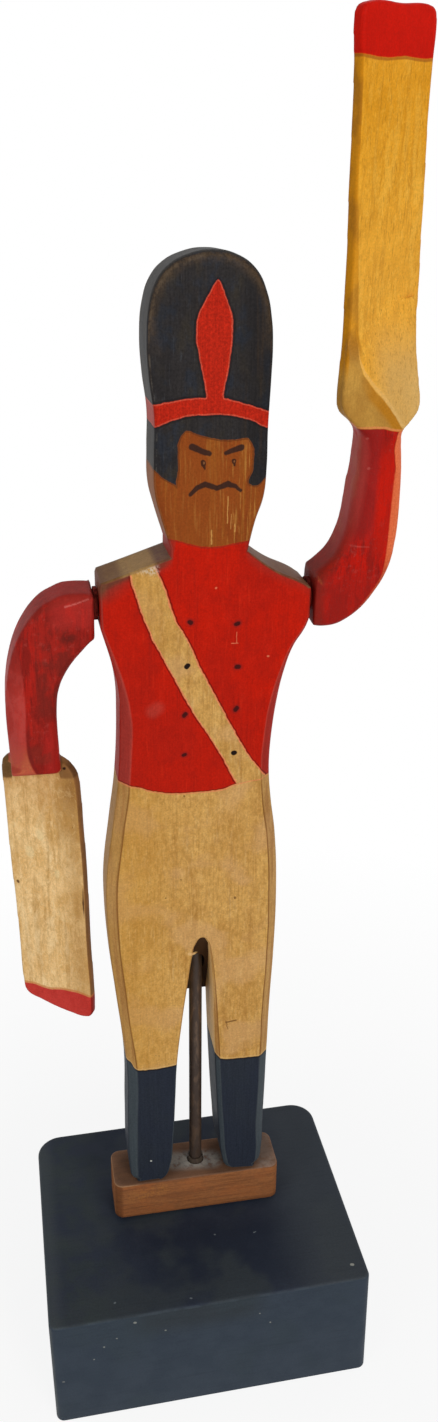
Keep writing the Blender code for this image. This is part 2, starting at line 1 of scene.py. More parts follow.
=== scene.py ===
"""Dresses the wooden soldier whirligig with its carved surfaces and old paint."""

from math import cos, pi, radians, sin

import bmesh
import bpy
from mathutils import Matrix, Vector, noise


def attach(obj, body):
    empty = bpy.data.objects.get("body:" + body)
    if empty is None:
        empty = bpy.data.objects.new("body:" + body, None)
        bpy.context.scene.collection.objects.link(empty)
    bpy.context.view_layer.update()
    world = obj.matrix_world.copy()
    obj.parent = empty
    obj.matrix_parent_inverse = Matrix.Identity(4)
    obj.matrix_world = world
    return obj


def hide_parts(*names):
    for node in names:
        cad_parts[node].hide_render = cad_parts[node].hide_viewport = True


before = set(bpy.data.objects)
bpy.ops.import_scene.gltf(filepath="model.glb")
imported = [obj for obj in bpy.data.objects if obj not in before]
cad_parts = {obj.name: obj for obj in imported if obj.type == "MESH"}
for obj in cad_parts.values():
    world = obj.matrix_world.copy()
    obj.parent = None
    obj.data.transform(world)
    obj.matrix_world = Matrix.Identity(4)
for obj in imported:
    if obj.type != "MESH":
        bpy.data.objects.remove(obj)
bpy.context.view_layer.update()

MM = 0.001
TINY = 1e-5

# Where the leaning figure and the spinning arms stand, as the frame has them
PIVOT = Vector((0.0027, 0.00765, 0.0648))
LEAN = radians(0.87)
AXLE_HEIGHT = 0.3334539
REST_TURN = radians(4.8)
BLADE_PITCH = radians(29.2)
FIGURE = Matrix.Translation(PIVOT) @ Matrix.Rotation(LEAN, 4, "Y")
ROTOR = FIGURE @ Matrix.Translation((0.0, 0.0, AXLE_HEIGHT)) @ Matrix.Rotation(REST_TURN, 4, "X")
ARM_FRAMES = {"left": ROTOR @ Matrix.Rotation(pi, 4, "Y"), "right": ROTOR}
REACH = {"left": 0.0665945, "right": 0.0681947}

# The block and its rounded edges, and how far, deep and finely its top front edge is rubbed
BLOCK = Vector((0.158, 0.1245, 0.0648))
FRONT_CORNER = 0.004
BACK_CORNER = 0.0125
BLOCK_LOWER_RIM = 0.001
BLOCK_UPPER_RIM = 0.0018
RUB_CUTS = 40
RUB_REACH = 0.006
RUB_FADE = 0.01
RUB_DEPTH = 0.0009
RUB_RATE = 70

# Sizes of the other pieces
BOARD_WIDTH = 0.0889
BOARD_THICKNESS = 0.0254
BOARD_HEIGHT = 0.4468
SOLE = 0.0238215
BAR_LOW = 0.0015215
BAR_TOP = 0.0235215
BAR_WIDTH = 0.086
BAR_SHIFT = -0.0008
BAR_CORNER = 0.0045
BAR_RIM = 0.001
ROD_RADIUS = 0.003175
ROD_RIM = 0.0005
ROD_HOLE_TOP = 0.004
TUBE_INNER = 0.003475
CROTCH = 0.1706396
CROTCH_HOLE_TOP = 0.22564
ROOF_LOW = 0.1235
ROOF_HALF_WIDTH = 0.0105
SPLINTER_SIZE = (0.0021, 0.0006, 0.00055)
SPLINTER_PLACE = (-0.0031, -0.0119, 0.1619)
TUBE_HOLE = 0.004375
GAP = 0.0003
SCREW_RADIUS = 0.00175
SCREW_HEAD_RADIUS = 0.0035
SCREW_HEAD_HEIGHT = 0.0025
SCREW_RECESS = 0.0006
SCREW_LENGTH = 0.0413
SCREW_SHARES = (-0.275, 0.255)
AXLE_GRIP = 0.0143
ROD_LOW = -0.045
ROD_TOP = 0.22364
ARM_STOCK = 0.021
ARM_FACE = {"left": 0.0434945, "right": 0.0490947}
ARM_CHAMFER = {"left": 0.0058, "right": 0.0038}
WRIST_DROP = 0.076
BLADE_THICKNESS = 0.0052
BLADE_EDGE = 0.0009

# The two cuts that pare the root of the raised arm: a steep facet and a long slope
FACET_RUN = (-0.0206, 0.0, 0.0244)
FACET_LEAN = radians(23)
FACET_TOP = 0.0721
PARING_OUT = 0.0131
SLOPE_TURN = radians(25)
SLOPE_TILT = radians(10)
SLOPE_TOP = 0.080

# Outline of the board, slot between the legs included: across as a share of its width,
# up as a share of its height, and a 1 where the point is a corner
BOARD_OUTLINE = [
    (0.051, 1), (-0.051, 0.9965), (-0.135, 0.988), (-0.188, 0.9755), (-0.218, 0.958),
    (-0.232, 0.9305), (-0.225, 0.8985), (-0.205, 0.865), (-0.208, 0.8315), (-0.206, 0.8),
    (-0.179, 0.7775), (-0.137, 0.7495, 1), (-0.138, 0.741, 1), (-0.336, 0.7275),
    (-0.458, 0.7195, 1), (-0.4645, 0.716, 1), (-0.4645, 0.675, 1), (-0.4185, 0.641),
    (-0.388, 0.6095), (-0.386, 0.576), (-0.404, 0.511), (-0.437, 0.462), (-0.475, 0.4035),
    (-0.48, 0.372), (-0.468, 0.312), (-0.432, 0.2355), (-0.398, 0.1595), (-0.4015, 0.0855),
    (-0.398, 0.018), (-0.388, 0.006), (-0.352, 0, 1), (-0.235, 0, 1), (-0.196, 0.006),
    (-0.168, 0.022), (-0.151, 0.058), (-0.136, 0.12), (-0.126, 0.1655), (-0.098, 0.2195),
    (-0.064, 0.2725), (-0.041, 0.305), (-0.022, 0.321), (0.014, 0.3286), (0.041, 0.323),
    (0.055, 0.308), (0.067, 0.285), (0.085, 0.199), (0.099, 0.131), (0.119, 0.061), (0.137, 0.022),
    (0.16, 0.006), (0.208, 0, 1), (0.322, 0, 1), (0.362, 0.008), (0.374, 0.0205), (0.3825, 0.07),
    (0.3915, 0.155), (0.4, 0.2245), (0.417, 0.3185), (0.4185, 0.381), (0.4, 0.444),
    (0.3745, 0.482), (0.361, 0.511), (0.363, 0.5425), (0.387, 0.5895), (0.416, 0.623),
    (0.453, 0.648), (0.511, 0.668), (0.5275, 0.677, 1), (0.5275, 0.706, 1), (0.48, 0.7125),
    (0.35, 0.725), (0.219, 0.744, 1), (0.253, 0.772), (0.289, 0.794), (0.3, 0.82),
    (0.3015, 0.8535), (0.3115, 0.8985), (0.315, 0.923), (0.308, 0.9455), (0.289, 0.9655),
    (0.241, 0.9845), (0.152, 0.9965)]

# Width of the whittled edge in millimetres by height, outside and along the slot
EDGE_BY_HEIGHT = [
    (0, 3.6), (22, 4.6), (259, 4.8), (295, 1.7), (330, 1.4), (357, 1.3), (420, 1.4), (438, 3.2),
    (447, 3.6)]
SLOT_EDGE_BY_HEIGHT = [(0, 2.4), (75, 2.4), (120, 1.4), (147, 0.6)]
ROUNDNESS_BY_HEIGHT = [(0, 0.3), (30, 0), (259, 0), (295, 0.6), (420, 0.8), (447, 1)]
SLOT_EDGE = 0.6
SLOT_TOP = 147.5
SLOT_SIDES = (-0.0215, 0.0192)
SLOT_MIDDLE = 0.0035

# By share of the way from axle to wrist: the part of the arms' chamfer on their outer side, how
# it dies out on the raised arm, and the rounding of that arm's inner edge in millimetres
OUTER_SHARE = [(-0.2, 0.5), (0.4, 0.5), (0.85, 1), (1, 1)]
PARED_FADE = [(0.85, 1), (0.98, 0.25), (2, 0.25)]
INNER_ROUNDING = [(0, 3), (0.15, 6.5), (0.45, 8.5), (0.8, 8), (0.9, 6), (0.97, 1), (2, 0.9)]

# Arms: out from the shoulder face and along from the axle in millimetres, and a 1 for a corner
ARM_OUTLINES = {
    "left": [
        (16.7, 76, 1), (16.7, 64.5), (17, 54.6), (16.9, 45), (15.7, 35.4), (11.7, 26.4),
        (4.8, 17.6), (0, 12.6, 1), (0, -6.9, 1), (4, -7.4), (8.2, -7.5), (12.4, -7.1),
        (16.7, -5.3), (21, -2.9), (24.7, 0.6), (28.7, 6), (32.4, 13), (35.4, 22), (37.4, 32),
        (38.3, 42), (38.4, 52), (38.1, 62), (37.7, 76, 1)],
    "right": [
        (8.4, 158, 1), (7.7, 136), (6.7, 115), (5.9, 100), (5.7, 90), (5.5, 84), (6.5, 79.8),
        (9.5, 75.8), (12.9, 72.4), (15.2, 69), (15.8, 65), (15.9, 59.5), (15.9, 53), (15.1, 46.8),
        (14.4, 38.2), (13.5, 31), (12.2, 26), (8.7, 18.2), (4.3, 13.5), (1.5, 11.2), (0, 10.4, 1),
        (0, -11.5, 1), (2.1, -12.1), (6.2, -12.3), (10.6, -11.6), (14.8, -9.5), (19, -6.4),
        (23, -2.2), (26.7, 3.2), (29.6, 8.2), (32.3, 16), (33.5, 25), (34, 34), (34, 42.5),
        (33.8, 51), (33.4, 58), (32.7, 65), (32.2, 71), (34.2, 73.9), (36.8, 76.2), (38.8, 79),
        (39.3, 82.8), (38.8, 88), (37.9, 95.6), (37.3, 101.5), (37.1, 108), (37.1, 122),
        (36.5, 140), (35.5, 158, 1)]}

# Blades: across and along in millimetres
BLADE_OUTLINES = {
    "left": [
        (14.5, 211), (8, 213.1), (0, 215.4), (-8, 216.8), (-16, 217.2), (-19.1, 215.4),
        (-19.7, 211), (-19.6, 196), (-18.7, 172), (-18.4, 148), (-18, 125), (-17, 103),
        (-16.4, 87), (-15.8, 81), (-14.9, 77.3), (-13, 74.5), (-10.2, 72.1), (-6.9, 70.6),
        (-2, 68), (8, 68), (14.5, 71.6), (17.1, 73.7), (19.8, 76), (20.6, 79.5), (20.7, 83),
        (20.4, 92), (20, 108), (19.5, 131), (18.4, 154), (17.8, 178), (17.2, 203), (16.4, 208.5)],
    "right": [
        (13.8, 216.9), (0, 216.8), (-16.6, 216.5), (-19.7, 214.9), (-20.4, 211.2), (-19.1, 199),
        (-18, 181), (-17.4, 162), (-16.2, 142), (-15.5, 121), (-15.1, 106), (-15.5, 95),
        (-15.8, 83.5), (-14.7, 79.5), (-11.5, 76.4), (-8, 74), (-5, 71), (-3, 67), (6, 66),
        (13.8, 70), (18.3, 79), (19.8, 91), (21.4, 106), (22, 118), (20.4, 140), (19.2, 161),
        (17.7, 181), (17.2, 200), (17.3, 212), (16, 215.9)]}

# The floor: its size, how white it is shown, and the distances between which its shadow fades
FLOOR_SIZE = 20.0
FLOOR_WHITE = 0.88
SHADOW_REACH = (0.15, 0.5)

# The lights' names, places, widths, powers and colours, and the point that they are aimed at
LIGHTS = (
    ("key", (1.3, -3.3, 1.7), 1.6, 60, (1.0, 0.97, 0.93)),
    ("fill", (-2.8, -2.2, 1.3), 1.6, 24, (1, 1, 1)))
LIGHT_TARGET = (0, 0, 0.3)

# The photograph's view, found by fitting the block and the board: degrees, metres, millimetres
CAMERA_TURN = (10.45, 23.84, 0.39)
CAMERA_PLACE = (-0.0678, -0.45455, 0.5529)
FOCAL_LENGTH = 29.482


def between(table, where):
    """Reads a table of (place, value) rows, straight between them."""
    for (low, first), (high, second) in zip(table, table[1:]):
        if where <= high:
            return first + (second - first) * max(0.0, where - low) / (high - low)
    return table[-1][1]


def smooth_outline(points, steps):
    """Runs a closed curve through (x, z) points, straight at those with a 1 after them."""
    curve = bpy.data.curves.new("outline", "CURVE")
    curve.dimensions = "2D"
    curve.fill_mode = "NONE"
    curve.resolution_u = steps
    line = curve.splines.new("BEZIER")
    line.bezier_points.add(len(points) - 1)
    line.use_cyclic_u = True
    for knot, (x, z, *corner) in zip(line.bezier_points, points):
        knot.co = (x, z, 0.0)
        knot.handle_left_type = "VECTOR" if corner else "AUTO"
        knot.handle_right_type = knot.handle_left_type
    holder = bpy.data.objects.new("outline", curve)
    bpy.context.scene.collection.objects.link(holder)
    graph = bpy.context.evaluated_depsgraph_get()
    traced = bpy.data.meshes.new_from_object(holder.evaluated_get(graph))
    outline = [Vector((v.co.x, v.co.y)) for v in traced.vertices]
    bpy.data.meshes.remove(traced)
    bpy.data.objects.remove(holder, do_unlink=True)
    bpy.data.curves.remove(curve)
    return outline


def inset(outline, index, amount):
    """A point of an outline moved inwards, square to both of its edges."""
    here = outline[index]
    before = here - outline[index - 1]
    after = outline[(index + 1) % len(outline)] - here
    first = Vector((-before.y, before.x)).normalized()
    second = Vector((-after.y, after.x)).normalized()
    return here + (first + second) * amount / max(0.5, 1 + first.dot(second))


def fitted(outline, chamfers):
    """Narrows the chamfers at a tight corner until their inner line no longer crosses itself."""
    amounts = list(chamfers)
    for _ in range(60):
        inner = [inset(outline, index, amount) for index, amount in enumerate(amounts)]
        crossed = [
            index for index, start in enumerate(inner)
            if (inner[index - 1] - start).dot(outline[index - 1] - outline[index]) <= 0]
        if not crossed:
            break
        for index in crossed:
            amounts[index] *= 0.9
            amounts[index - 1] *= 0.9
    return amounts


def whittled(outline, thickness, front, back, roundness, rings=4, soft=0.0):
    """A plank sawn to an outline in the XZ plane, its edges whittled off.

    Front and back give the width taken off at each point, and roundness runs from 0, a
    flat facet, to 1, a quarter round. Soft is the share by which a facet's own edges
    are worn.
    """
    shape = bmesh.new()
    loops = []
    for side, amounts in ((-1, fitted(outline, front)), (1, fitted(outline, back))):
        half = []
        for ring in range(rings + 1):
            turn = ring / rings
            flat_in, flat_down = 1 - turn, turn
            if ring == 0:
                flat_in = 1 + soft
            elif ring == 1 and soft:
                flat_in, flat_down = 1 - soft, soft
            elif ring == rings - 1 and soft:
                flat_in, flat_down = soft, 1 - soft
            elif ring == rings:
                flat_down = 1 + soft
            loop = []
            for index, amount in enumerate(amounts):
                blend = roundness[index]
                inwards = flat_in * (1 - blend) + (1 - sin(turn * pi / 2)) * blend
                down = flat_down * (1 - blend) + (1 - cos(turn * pi / 2)) * blend
                x, z = inset(outline, index, amount * inwards)
                loop.append(shape.verts.new((x, side * (thickness / 2 - amount * down), z)))
            half.append(loop)
        loops += half if side < 0 else half[::-1]
    rims = [[shape.edges.new((a, b)) for a, b in zip(loop, loop[1:] + loop[:1])] for loop in loops]
    for near, far in zip(rims, rims[1:]):
        bmesh.ops.bridge_loops(shape, edges=near + far)
    shape.faces.new(loops[0])
    shape.faces.new(loops[-1])
    bmesh.ops.recalc_face_normals(shape, faces=shape.faces)
    return shape


def as_object(name, shape, place=None):
    """Makes a finished object of a bmesh, with its place in its mesh."""
    if place is not None:
        bmesh.ops.transform(shape, matrix=place, verts=shape.verts)
    mesh = bpy.data.meshes.new(name)
    shape.to_mesh(mesh)
    shape.free()
    obj = bpy.data.objects.new(name, mesh)
    bpy.context.scene.collection.objects.link(obj)
    return obj


def settle(obj):
    """Applies an object's modifiers."""
    graph = bpy.context.evaluated_depsgraph_get()
    mesh = bpy.data.meshes.new_from_object(obj.evaluated_get(graph))
    old = obj.data
    obj.modifiers.clear()
    obj.data = mesh
    mesh.name = obj.name
    bpy.data.meshes.remove(old)


def combine(target, tool, operation="DIFFERENCE"):
    """Cuts a tool out of a target, or joins it on, and removes the tool."""
    step = target.modifiers.new("join", "BOOLEAN")
    step.operation = operation
    step.solver = "EXACT"
    step.object = tool
    settle(target)
    used = tool.data
    bpy.data.objects.remove(tool, do_unlink=True)
    bpy.data.meshes.remove(used)


def shade(obj, degrees=28):
    """Smooth shading that stays crisp at real edges."""
    obj.data.shade_smooth()
    obj.data.set_sharp_from_angle(angle=radians(degrees))


def finish_piece(obj, body, nodes, material):
    """Says what a piece rides on and stands for, and paints it."""
    obj.data.materials.clear()
    obj.data.materials.append(material)
    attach(obj, body)
    if nodes:
        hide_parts(*nodes)


def drill(radius, low, high, place):
    """A round cutter along Z between two heights."""
    shape = bmesh.new()
    bmesh.ops.create_cone(
        shape, cap_ends=True, segments=40, radius1=radius, radius2=radius, depth=high - low)
    return as_object("drill", shape, place @ Matrix.Translation((0.0, 0.0, (low + high) / 2)))


def screw_hole(share):
    """The cutter for a countersunk screw that comes up through the bar into a boot."""
    shape = bmesh.new()
    low = BAR_LOW + SCREW_RECESS
    shank = SCREW_RADIUS + GAP
    head = SCREW_HEAD_RADIUS + GAP
    for radius, wide, start, end in (
            (head, head, BAR_LOW - 0.004, low), (head, shank, low, low + SCREW_HEAD_HEIGHT),
            (shank, shank, low + SCREW_HEAD_HEIGHT, low + SCREW_LENGTH)):
        bmesh.ops.create_cone(
            shape, cap_ends=False, segments=32, radius1=radius, radius2=wide, depth=end - start,
            matrix=Matrix.Translation((share * BOARD_WIDTH, 0.0, (start + end) / 2)))
    bmesh.ops.remove_doubles(shape, verts=shape.verts, dist=1e-6)
    bmesh.ops.holes_fill(shape, edges=shape.edges, sides=0)
    bmesh.ops.recalc_face_normals(shape, faces=shape.faces)
    return as_object("screw_hole", shape)


def half_space(point, normal):
    """A large cube whose near face is the plane of a cut."""
    shape = bmesh.new()
    bmesh.ops.create_cube(shape, size=0.25)
    turn = normal.to_track_quat("Z", "Y").to_matrix().to_4x4()
    return as_object("paring", shape, Matrix.Translation(point + normal * 0.125) @ turn)


class Wire:
    """A value socket that takes part in Python sums."""

    def __init__(self, finish, socket):
        self.finish = finish
        self.socket = socket

    def math(self, operation, *others):
        return self.finish.node("Math", {"operation": operation}, (self, *others))

    def __add__(self, other): return self.math("ADD", other)
    def __mul__(self, other): return self.math("MULTIPLY", other)
    def __sub__(self, other): return self.math("SUBTRACT", other)
    def __rsub__(self, other): return self * -1.0 + other
    def __truediv__(self, other): return self.math("DIVIDE", other)
    def __neg__(self): return self * -1.0
    def __abs__(self): return self.math("ABSOLUTE")
    def least(self, other): return self.math("MINIMUM", other)
    def most(self, other): return self.math("MAXIMUM", other)
    __radd__, __rmul__ = __add__, __mul__

    def ramp(self, low, high, first, last):
        """Runs smoothly from one value, up to low, to another, from high on."""
        return self.finish.node("MapRange", {"interpolation_type": "SMOOTHSTEP"}, {
            "Value": self, "From Min": low, "From Max": high, "To Min": first, "To Max": last})

    def rise(self, low, high): return self.ramp(low, high, 0.0, 1.0)
    def fall(self, low, high): return self.ramp(low, high, 1.0, 0.0)

    def near(self, middle, width, soft):
        """1 within a width of a middle value, 0 past the soft edge."""
        return abs(self - middle).fall(width, width + soft)

    def follow(self, points, base, top):
        """Reads a smooth drawn curve through (input, output) points."""
        points = sorted(points)
        low, high = points[0][0], points[-1][0]
        made = self.finish.raw("FloatCurve")
        line = made.mapping.curves[0]
        rows = [((x - low) / (high - low), (y - base) / (top - base)) for x, y in points]
        line.points[0].location = rows[0]
        line.points[1].location = rows[-1]
        for row in rows[1:-1]:
            line.points.new(*row)
        for point in line.points:
            point.handle_type = "AUTO_CLAMPED"
        made.mapping.update()
        share = ((self - low) / (high - low)).most(0.0).least(1.0)
        self.finish.plug(made.inputs["Value"], share)
        return Wire(self.finish, made.outputs[0]) * (top - base) + base


class Tree:
    """A node tree, with one way to add nodes to it."""

    def __init__(self, tree):
        self.tree = tree

    def raw(self, kind):
        return self.tree.nodes.new("ShaderNode" + kind)

    def plug(self, target, value):
        """Gives a socket a link, a value, or a colour as a hex text or three numbers."""
        if isinstance(value, Wire):
            self.tree.links.new(value.socket, target)
        elif value is not None:
            if isinstance(value, str):
                value = tint(value)
            if hasattr(value, "__len__") and len(value) == 3 and len(target.default_value) == 4:
                value = (*value, 1.0)
            target.default_value = value

    def node(self, kind, settings=None, values=(), output=0):
        """Adds a node: its settings first, then its sockets, by order or by name."""
        made = self.raw(kind)
        for key, value in (settings or {}).items():
            setattr(made, key, value)
        pairs = values.items() if isinstance(values, dict) else enumerate(values)
        for key, value in pairs:
            self.plug(made.inputs[key], value)
        return Wire(self, made.outputs[output])


class Finish(Tree):
    """A material, with the piece's coordinates in millimetres in its own frame."""

    def __init__(self, name, place=None):
        self.material = bpy.data.materials.new(name)
        self.material.use_nodes = True
        super().__init__(self.material.node_tree)
        self.shader = self.tree.nodes["Principled BSDF"]
        made = self.raw("TexCoord")
        self.spot = Wire(self, made.outputs["Object"])
        self.slope = Wire(self, made.outputs["Normal"])
        self.place, self.facing = self.seen_from(place or Matrix.Identity(4))
        self.x, self.y, self.z = self.split(self.place)
        self.nx, self.ny, self.nz = self.split(self.facing)

    def seen_from(self, place):
        """Place in millimetres and direction of the surface, in a frame of the figure."""
        turn = place.to_euler()
        return (self.mapped(self.spot, place.to_translation(), turn, (MM, MM, MM)),
                self.mapped(self.slope, (0, 0, 0), turn, (1, 1, 1)))

    def mapped(self, vector, location, rotation, scale):
        return self.node("Mapping", {"vector_type": "TEXTURE"}, {
            "Vector": vector, "Location": location, "Rotation": rotation, "Scale": scale})

    def cells(self, size, stretch, shift):
        """Coordinates in units of a size in millimetres, stretched up the piece or by axis."""
        stretch = stretch if hasattr(stretch, "__len__") else (1, 1, stretch)
        return self.mapped(self.place, shift, (0, 0, 0), tuple(size * s for s in stretch))

    def split(self, vector):
        made = self.raw("SeparateXYZ")
        self.plug(made.inputs[0], vector)
        return [Wire(self, out) for out in made.outputs]

    def noise(self, size, stretch=1, detail=3.0, rough=0.55, shift=0.0, warp=0.0):
        """Noise with features of about the given size in millimetres, stretched."""
        return self.node("TexNoise", None, {
            "Vector": self.cells(size, stretch, (shift * 7.3, shift * 3.1, shift * 11.7)),
            "Scale": 1.0, "Detail": detail, "Roughness": rough, "Distortion": warp})

    def specks(self, spacing, radius, share, shift=0.0, stretch=1):
        """Small dots, in a share of the cells of a loose grid: 1 inside a dot."""
        hue = self.node("TexVoronoi", None, {
            "Vector": self.cells(spacing, stretch, (shift * 5.1, shift * 9.7, shift * 3.3)),
            "Scale": 1.0}, "Color")
        chance = self.split(hue)[0]
        away = Wire(self, hue.socket.node.outputs["Distance"])
        dot = away.fall(0.6 * radius / spacing, radius / spacing)
        return dot * chance.rise(0.99 - share, 1.0 - share)

    def mix(self, factor, first, second, blend="MIX"):
        settings = {"data_type": "RGBA", "blend_type": blend, "clamp_factor": True}
        return self.node("Mix", settings, {0: factor, 6: first, 7: second}, 2)

    def over(self, colour, *layers):
        """Lays colours one over another, each as far as its mask says."""
        for mask, paint in layers:
            colour = self.mix(mask, colour, paint)
        return colour

    def toned(self, colour, tone):
        """A colour made darker or lighter from place to place."""
        return self.mix(1.0, colour, 1.0 + tone, "MULTIPLY")

    def coat(self, paint, inside, colour, ridge=None, shade=None):
        """Lays a colour where a distance inside its edge is over 0.

        The paint can stand in a thin ridge along its edge, with a dark line beyond it.
        """
        if shade is not None:
            paint = self.mix(inside.near(-0.4, 0.1, 0.35) * 0.65, paint, shade)
        paint = self.mix(inside.rise(-0.18, 0.18), paint, colour)
        if ridge is not None:
            paint = self.mix(inside.near(0.3, 0.08, 0.3) * 0.75, paint, ridge)
        return paint

    def stroke(self, start, end, thick, thin=None, x=None, z=None):
        """How far inside a tapered brush stroke a place in the XZ plane lies."""
        thin = thick if thin is None else thin
        x, z = x or self.x, z or self.z
        run, climb = end[0] - start[0], end[1] - start[1]
        square = run * run + climb * climb or 1.0
        along = ((x - start[0]) * run + (z - start[1]) * climb) / square
        along = along.most(0.0).least(1.0)
        dx = x - start[0] - along * run
        dz = z - start[1] - along * climb
        return along * (thin - thick) + thick - (dx * dx + dz * dz).math("SQRT")

    def strokes(self, rows, x=None, z=None):
        """The deepest of many strokes at each place."""
        marks = [self.stroke(*row, x=x, z=z) for row in rows]
        deepest = marks[0]
        for mark in marks[1:]:
            deepest = deepest.most(mark)
        return deepest

    def bump(self, height, strength, distance=0.0003):
        self.plug(self.shader.inputs["Normal"], self.node(
            "Bump", None, {"Strength": strength, "Distance": distance, "Height": height}))

    def done(self, colour, rough, metallic=0.0, gloss=0.06):
        """Connects the colour and roughness, and returns the material."""
        self.plug(self.shader.inputs["Base Color"], colour)
        self.plug(self.shader.inputs["Roughness"], rough)
        self.plug(self.shader.inputs["Metallic"], metallic)
        self.shader.inputs["Specular IOR Level"].default_value = gloss
        return self.material


def tint(text):
    """A colour written as six hexadecimal digits, as linear values."""
    parts = [int(text[i:i + 2], 16) / 255 for i in (0, 2, 4)]
    return tuple(c / 12.92 if c <= 0.04045 else ((c + 0.055) / 1.055) ** 2.4 for c in parts)


def mottled(f, base, *patches, size=9.0, stretch=2.0, shift=0.0):
    """A colour with soft patches of others over it."""
    colour = base
    for index, (patch, low, high, strength) in enumerate(patches):
        cover = f.noise(size * (1 + 0.37 * index), stretch, 4.0, 0.6, shift + 3.7 * index)
        colour = f.mix(cover.rise(low, high) * strength, colour, patch)
    return colour


# The figure's paint lines in millimetres from the pivot: (across, up) or (up, across)
HEM = [
    (-50, 255.5), (-30.1, 253.2), (-19.7, 249.6), (-5.9, 247.9), (8, 248.2), (16, 250.5),
    (24, 252), (50, 253)]
COLLAR = [
    (-25, 363), (-12.5, 362.6), (-4, 360.2), (5, 358.8), (12, 359.6), (18.5, 360.8), (30, 361.5)]
BAND_LOW = [
    (-24, 404.5), (-18, 406.8), (-7.1, 410.3), (3.4, 411.2), (14.5, 410.2), (26.1, 405.7),
    (30, 404)]
BAND_HIGH = [
    (-24, 413.4), (-19, 415.1), (-4.8, 417.4), (1.8, 417.7), (8.5, 417.5), (17.5, 415.1),
    (26.3, 412.2), (30, 411)]
BOOT_TOPS = [
    (-40, 103), (-33.9, 100.6), (-31, 97.1), (-22, 96.9), (-11.5, 97.8), (-4, 98.4), (0, 105.5),
    (4.2, 104.8), (12, 98.1), (22, 97.4), (33.1, 97.2), (40, 97)]
SASH_LEFT = [
    (245, 19.5), (251, 16), (269.3, 6.9), (287.2, -3.7), (306.2, -13.2), (324, -21.6),
    (339.3, -26.7), (348.3, -28.9), (365, -30)]
SASH_RIGHT = [
    (240, 37), (251.7, 30.5), (264, 21.7), (283.8, 11.2), (306.7, 0), (321.8, -6.6),
    (328.1, -10.3), (343.8, -15.2), (352.8, -19.1), (365, -21)]
WINDOW_LEFT = [
    (375, -10.6), (384.5, -10), (392, -9.1), (398.6, -9.3), (402, -8.6), (404.4, -7.2),
    (406.5, -4)]
WINDOW_RIGHT = [
    (378, 21.5), (383.1, 20), (384.6, 19.1), (389.5, 20.8), (396.2, 21.1), (399.6, 20.2),
    (402.1, 18.2), (403.5, 15)]
WINDOW_TOP = [
    (-12, 405.6), (-6.3, 405.4), (-1, 403.9), (4.7, 402.4), (11, 401.5), (18.2, 402.1),
    (24, 402.6)]
HAIRLINE = [
    (-32, 397.5), (-19, 390.7), (-14.6, 387), (-10.3, 384.3), (-8, 383), (15.5, 382.5),
    (19.4, 384), (21.8, 383.1), (25.8, 386.1), (34, 390)]
PLUME_LEFT = [
    (414, 0.4), (416.6, 1), (418, 1.9), (422.9, 1.2), (433.2, -0.9), (441.5, -2.1), (446.5, -1.6),
    (451.7, 0.6), (456, 3.1), (460.3, 6.1), (463, 9)]
PLUME_RIGHT = [
    (414, 9.9), (416.4, 9.4), (418, 8.6), (421.3, 9.2), (433, 11.2), (442.8, 12), (448, 11.6),
    (451.7, 10.4), (456, 8.7), (460.3, 6.3), (463, 3)]
SHOULDERS = [
    (-45, 343), (-41.3, 344), (-29.9, 348.9), (-12.2, 354.9), (-8, 372), (15, 372), (19.5, 356.3),
    (31.1, 347.8), (42.7, 342.2), (50, 338)]
BROWS = [((-3.4, 399), (3.2, 396.2), 1.45, 1), ((9.9, 396.4), (15.9, 398.4), 0.85, 1.3)]
MOUSTACHE = [
    ((-4.3, 380.4), (-1.4, 383.2), 0.8, 1.05), ((-1.4, 383.2), (1.8, 384.3), 1.05, 1.15),
    ((1.8, 384.3), (6.2, 382.7), 1.15, 0.95), ((6.2, 382.7), (11, 384.3), 0.95, 1.2),
    ((11, 384.3), (13.6, 383.3), 1.2, 0.95), ((13.6, 383.3), (15.9, 381.3), 0.95, 0.55)]
EYES = [
    ((0.9, 392.9), (1, 392.3), 1.05, 1.05), ((1, 392.3), (1.5, 390.5), 0.9, 0.3),
    ((13.1, 393.2), (13.1, 392.8), 0.95, 0.9), ((13.1, 392.8), (13.3, 391.6), 0.8, 0.4)]
EYE_LIGHTS = [((1.2, 392.8), (1.2, 392.5), 0.38), ((13.2, 393), (13.2, 392.9), 0.32)]
FACE_SCRATCHES = [
    ((10.9, 379), (10.8, 368.4), 0.22), ((13.9, 367.8), (13.9, 364.8), 0.25),
    ((4.3, 365.6), (4.4, 360), 0.28), ((12.4, 372), (12.2, 366), 0.12)]
BUTTONS = [
    ((-4.7, 327.4), (-4.2, 327), 0.95), ((15, 325.2), (15.9, 325.6), 0.95),
    ((15.5, 306.1), (16.3, 306.1), 1), ((15.2, 286.3), (15.8, 287.1), 0.95),
    ((-7.2, 285.2), (-6.6, 285.9), 0.95), ((-7.3, 266.5), (-6.7, 266.8), 0.8)]
SASH_BUTTONS = [((-6, 307.5), (-5.5, 308), 1.15), ((14.7, 265.8), (15.2, 265.9), 1.15)]
JACKET_SCRATCHES = [
    ((15.3, 321.8), (15.3, 317), 0.14), ((13.3, 317), (15.9, 316.9), 0.2),
    ((29, 310.2), (29.2, 310.1), 0.4), ((6.3, 341.4), (6.5, 341.6), 0.4)]
TROUSER_MARKS = [
    ((13, 121), (14, 116.2), 0.2), ((13, 120.3), (17.8, 120.9), 0.35),
    ((16.4, 191.3), (16.4, 190.9), 0.5), ((-7.3, 246.5), (-7.2, 246.3), 0.4),
    ((-8.8, 203.5), (-8.7, 203.4), 0.35), ((-15.8, 194.6), (-15.8, 194.4), 0.3)]


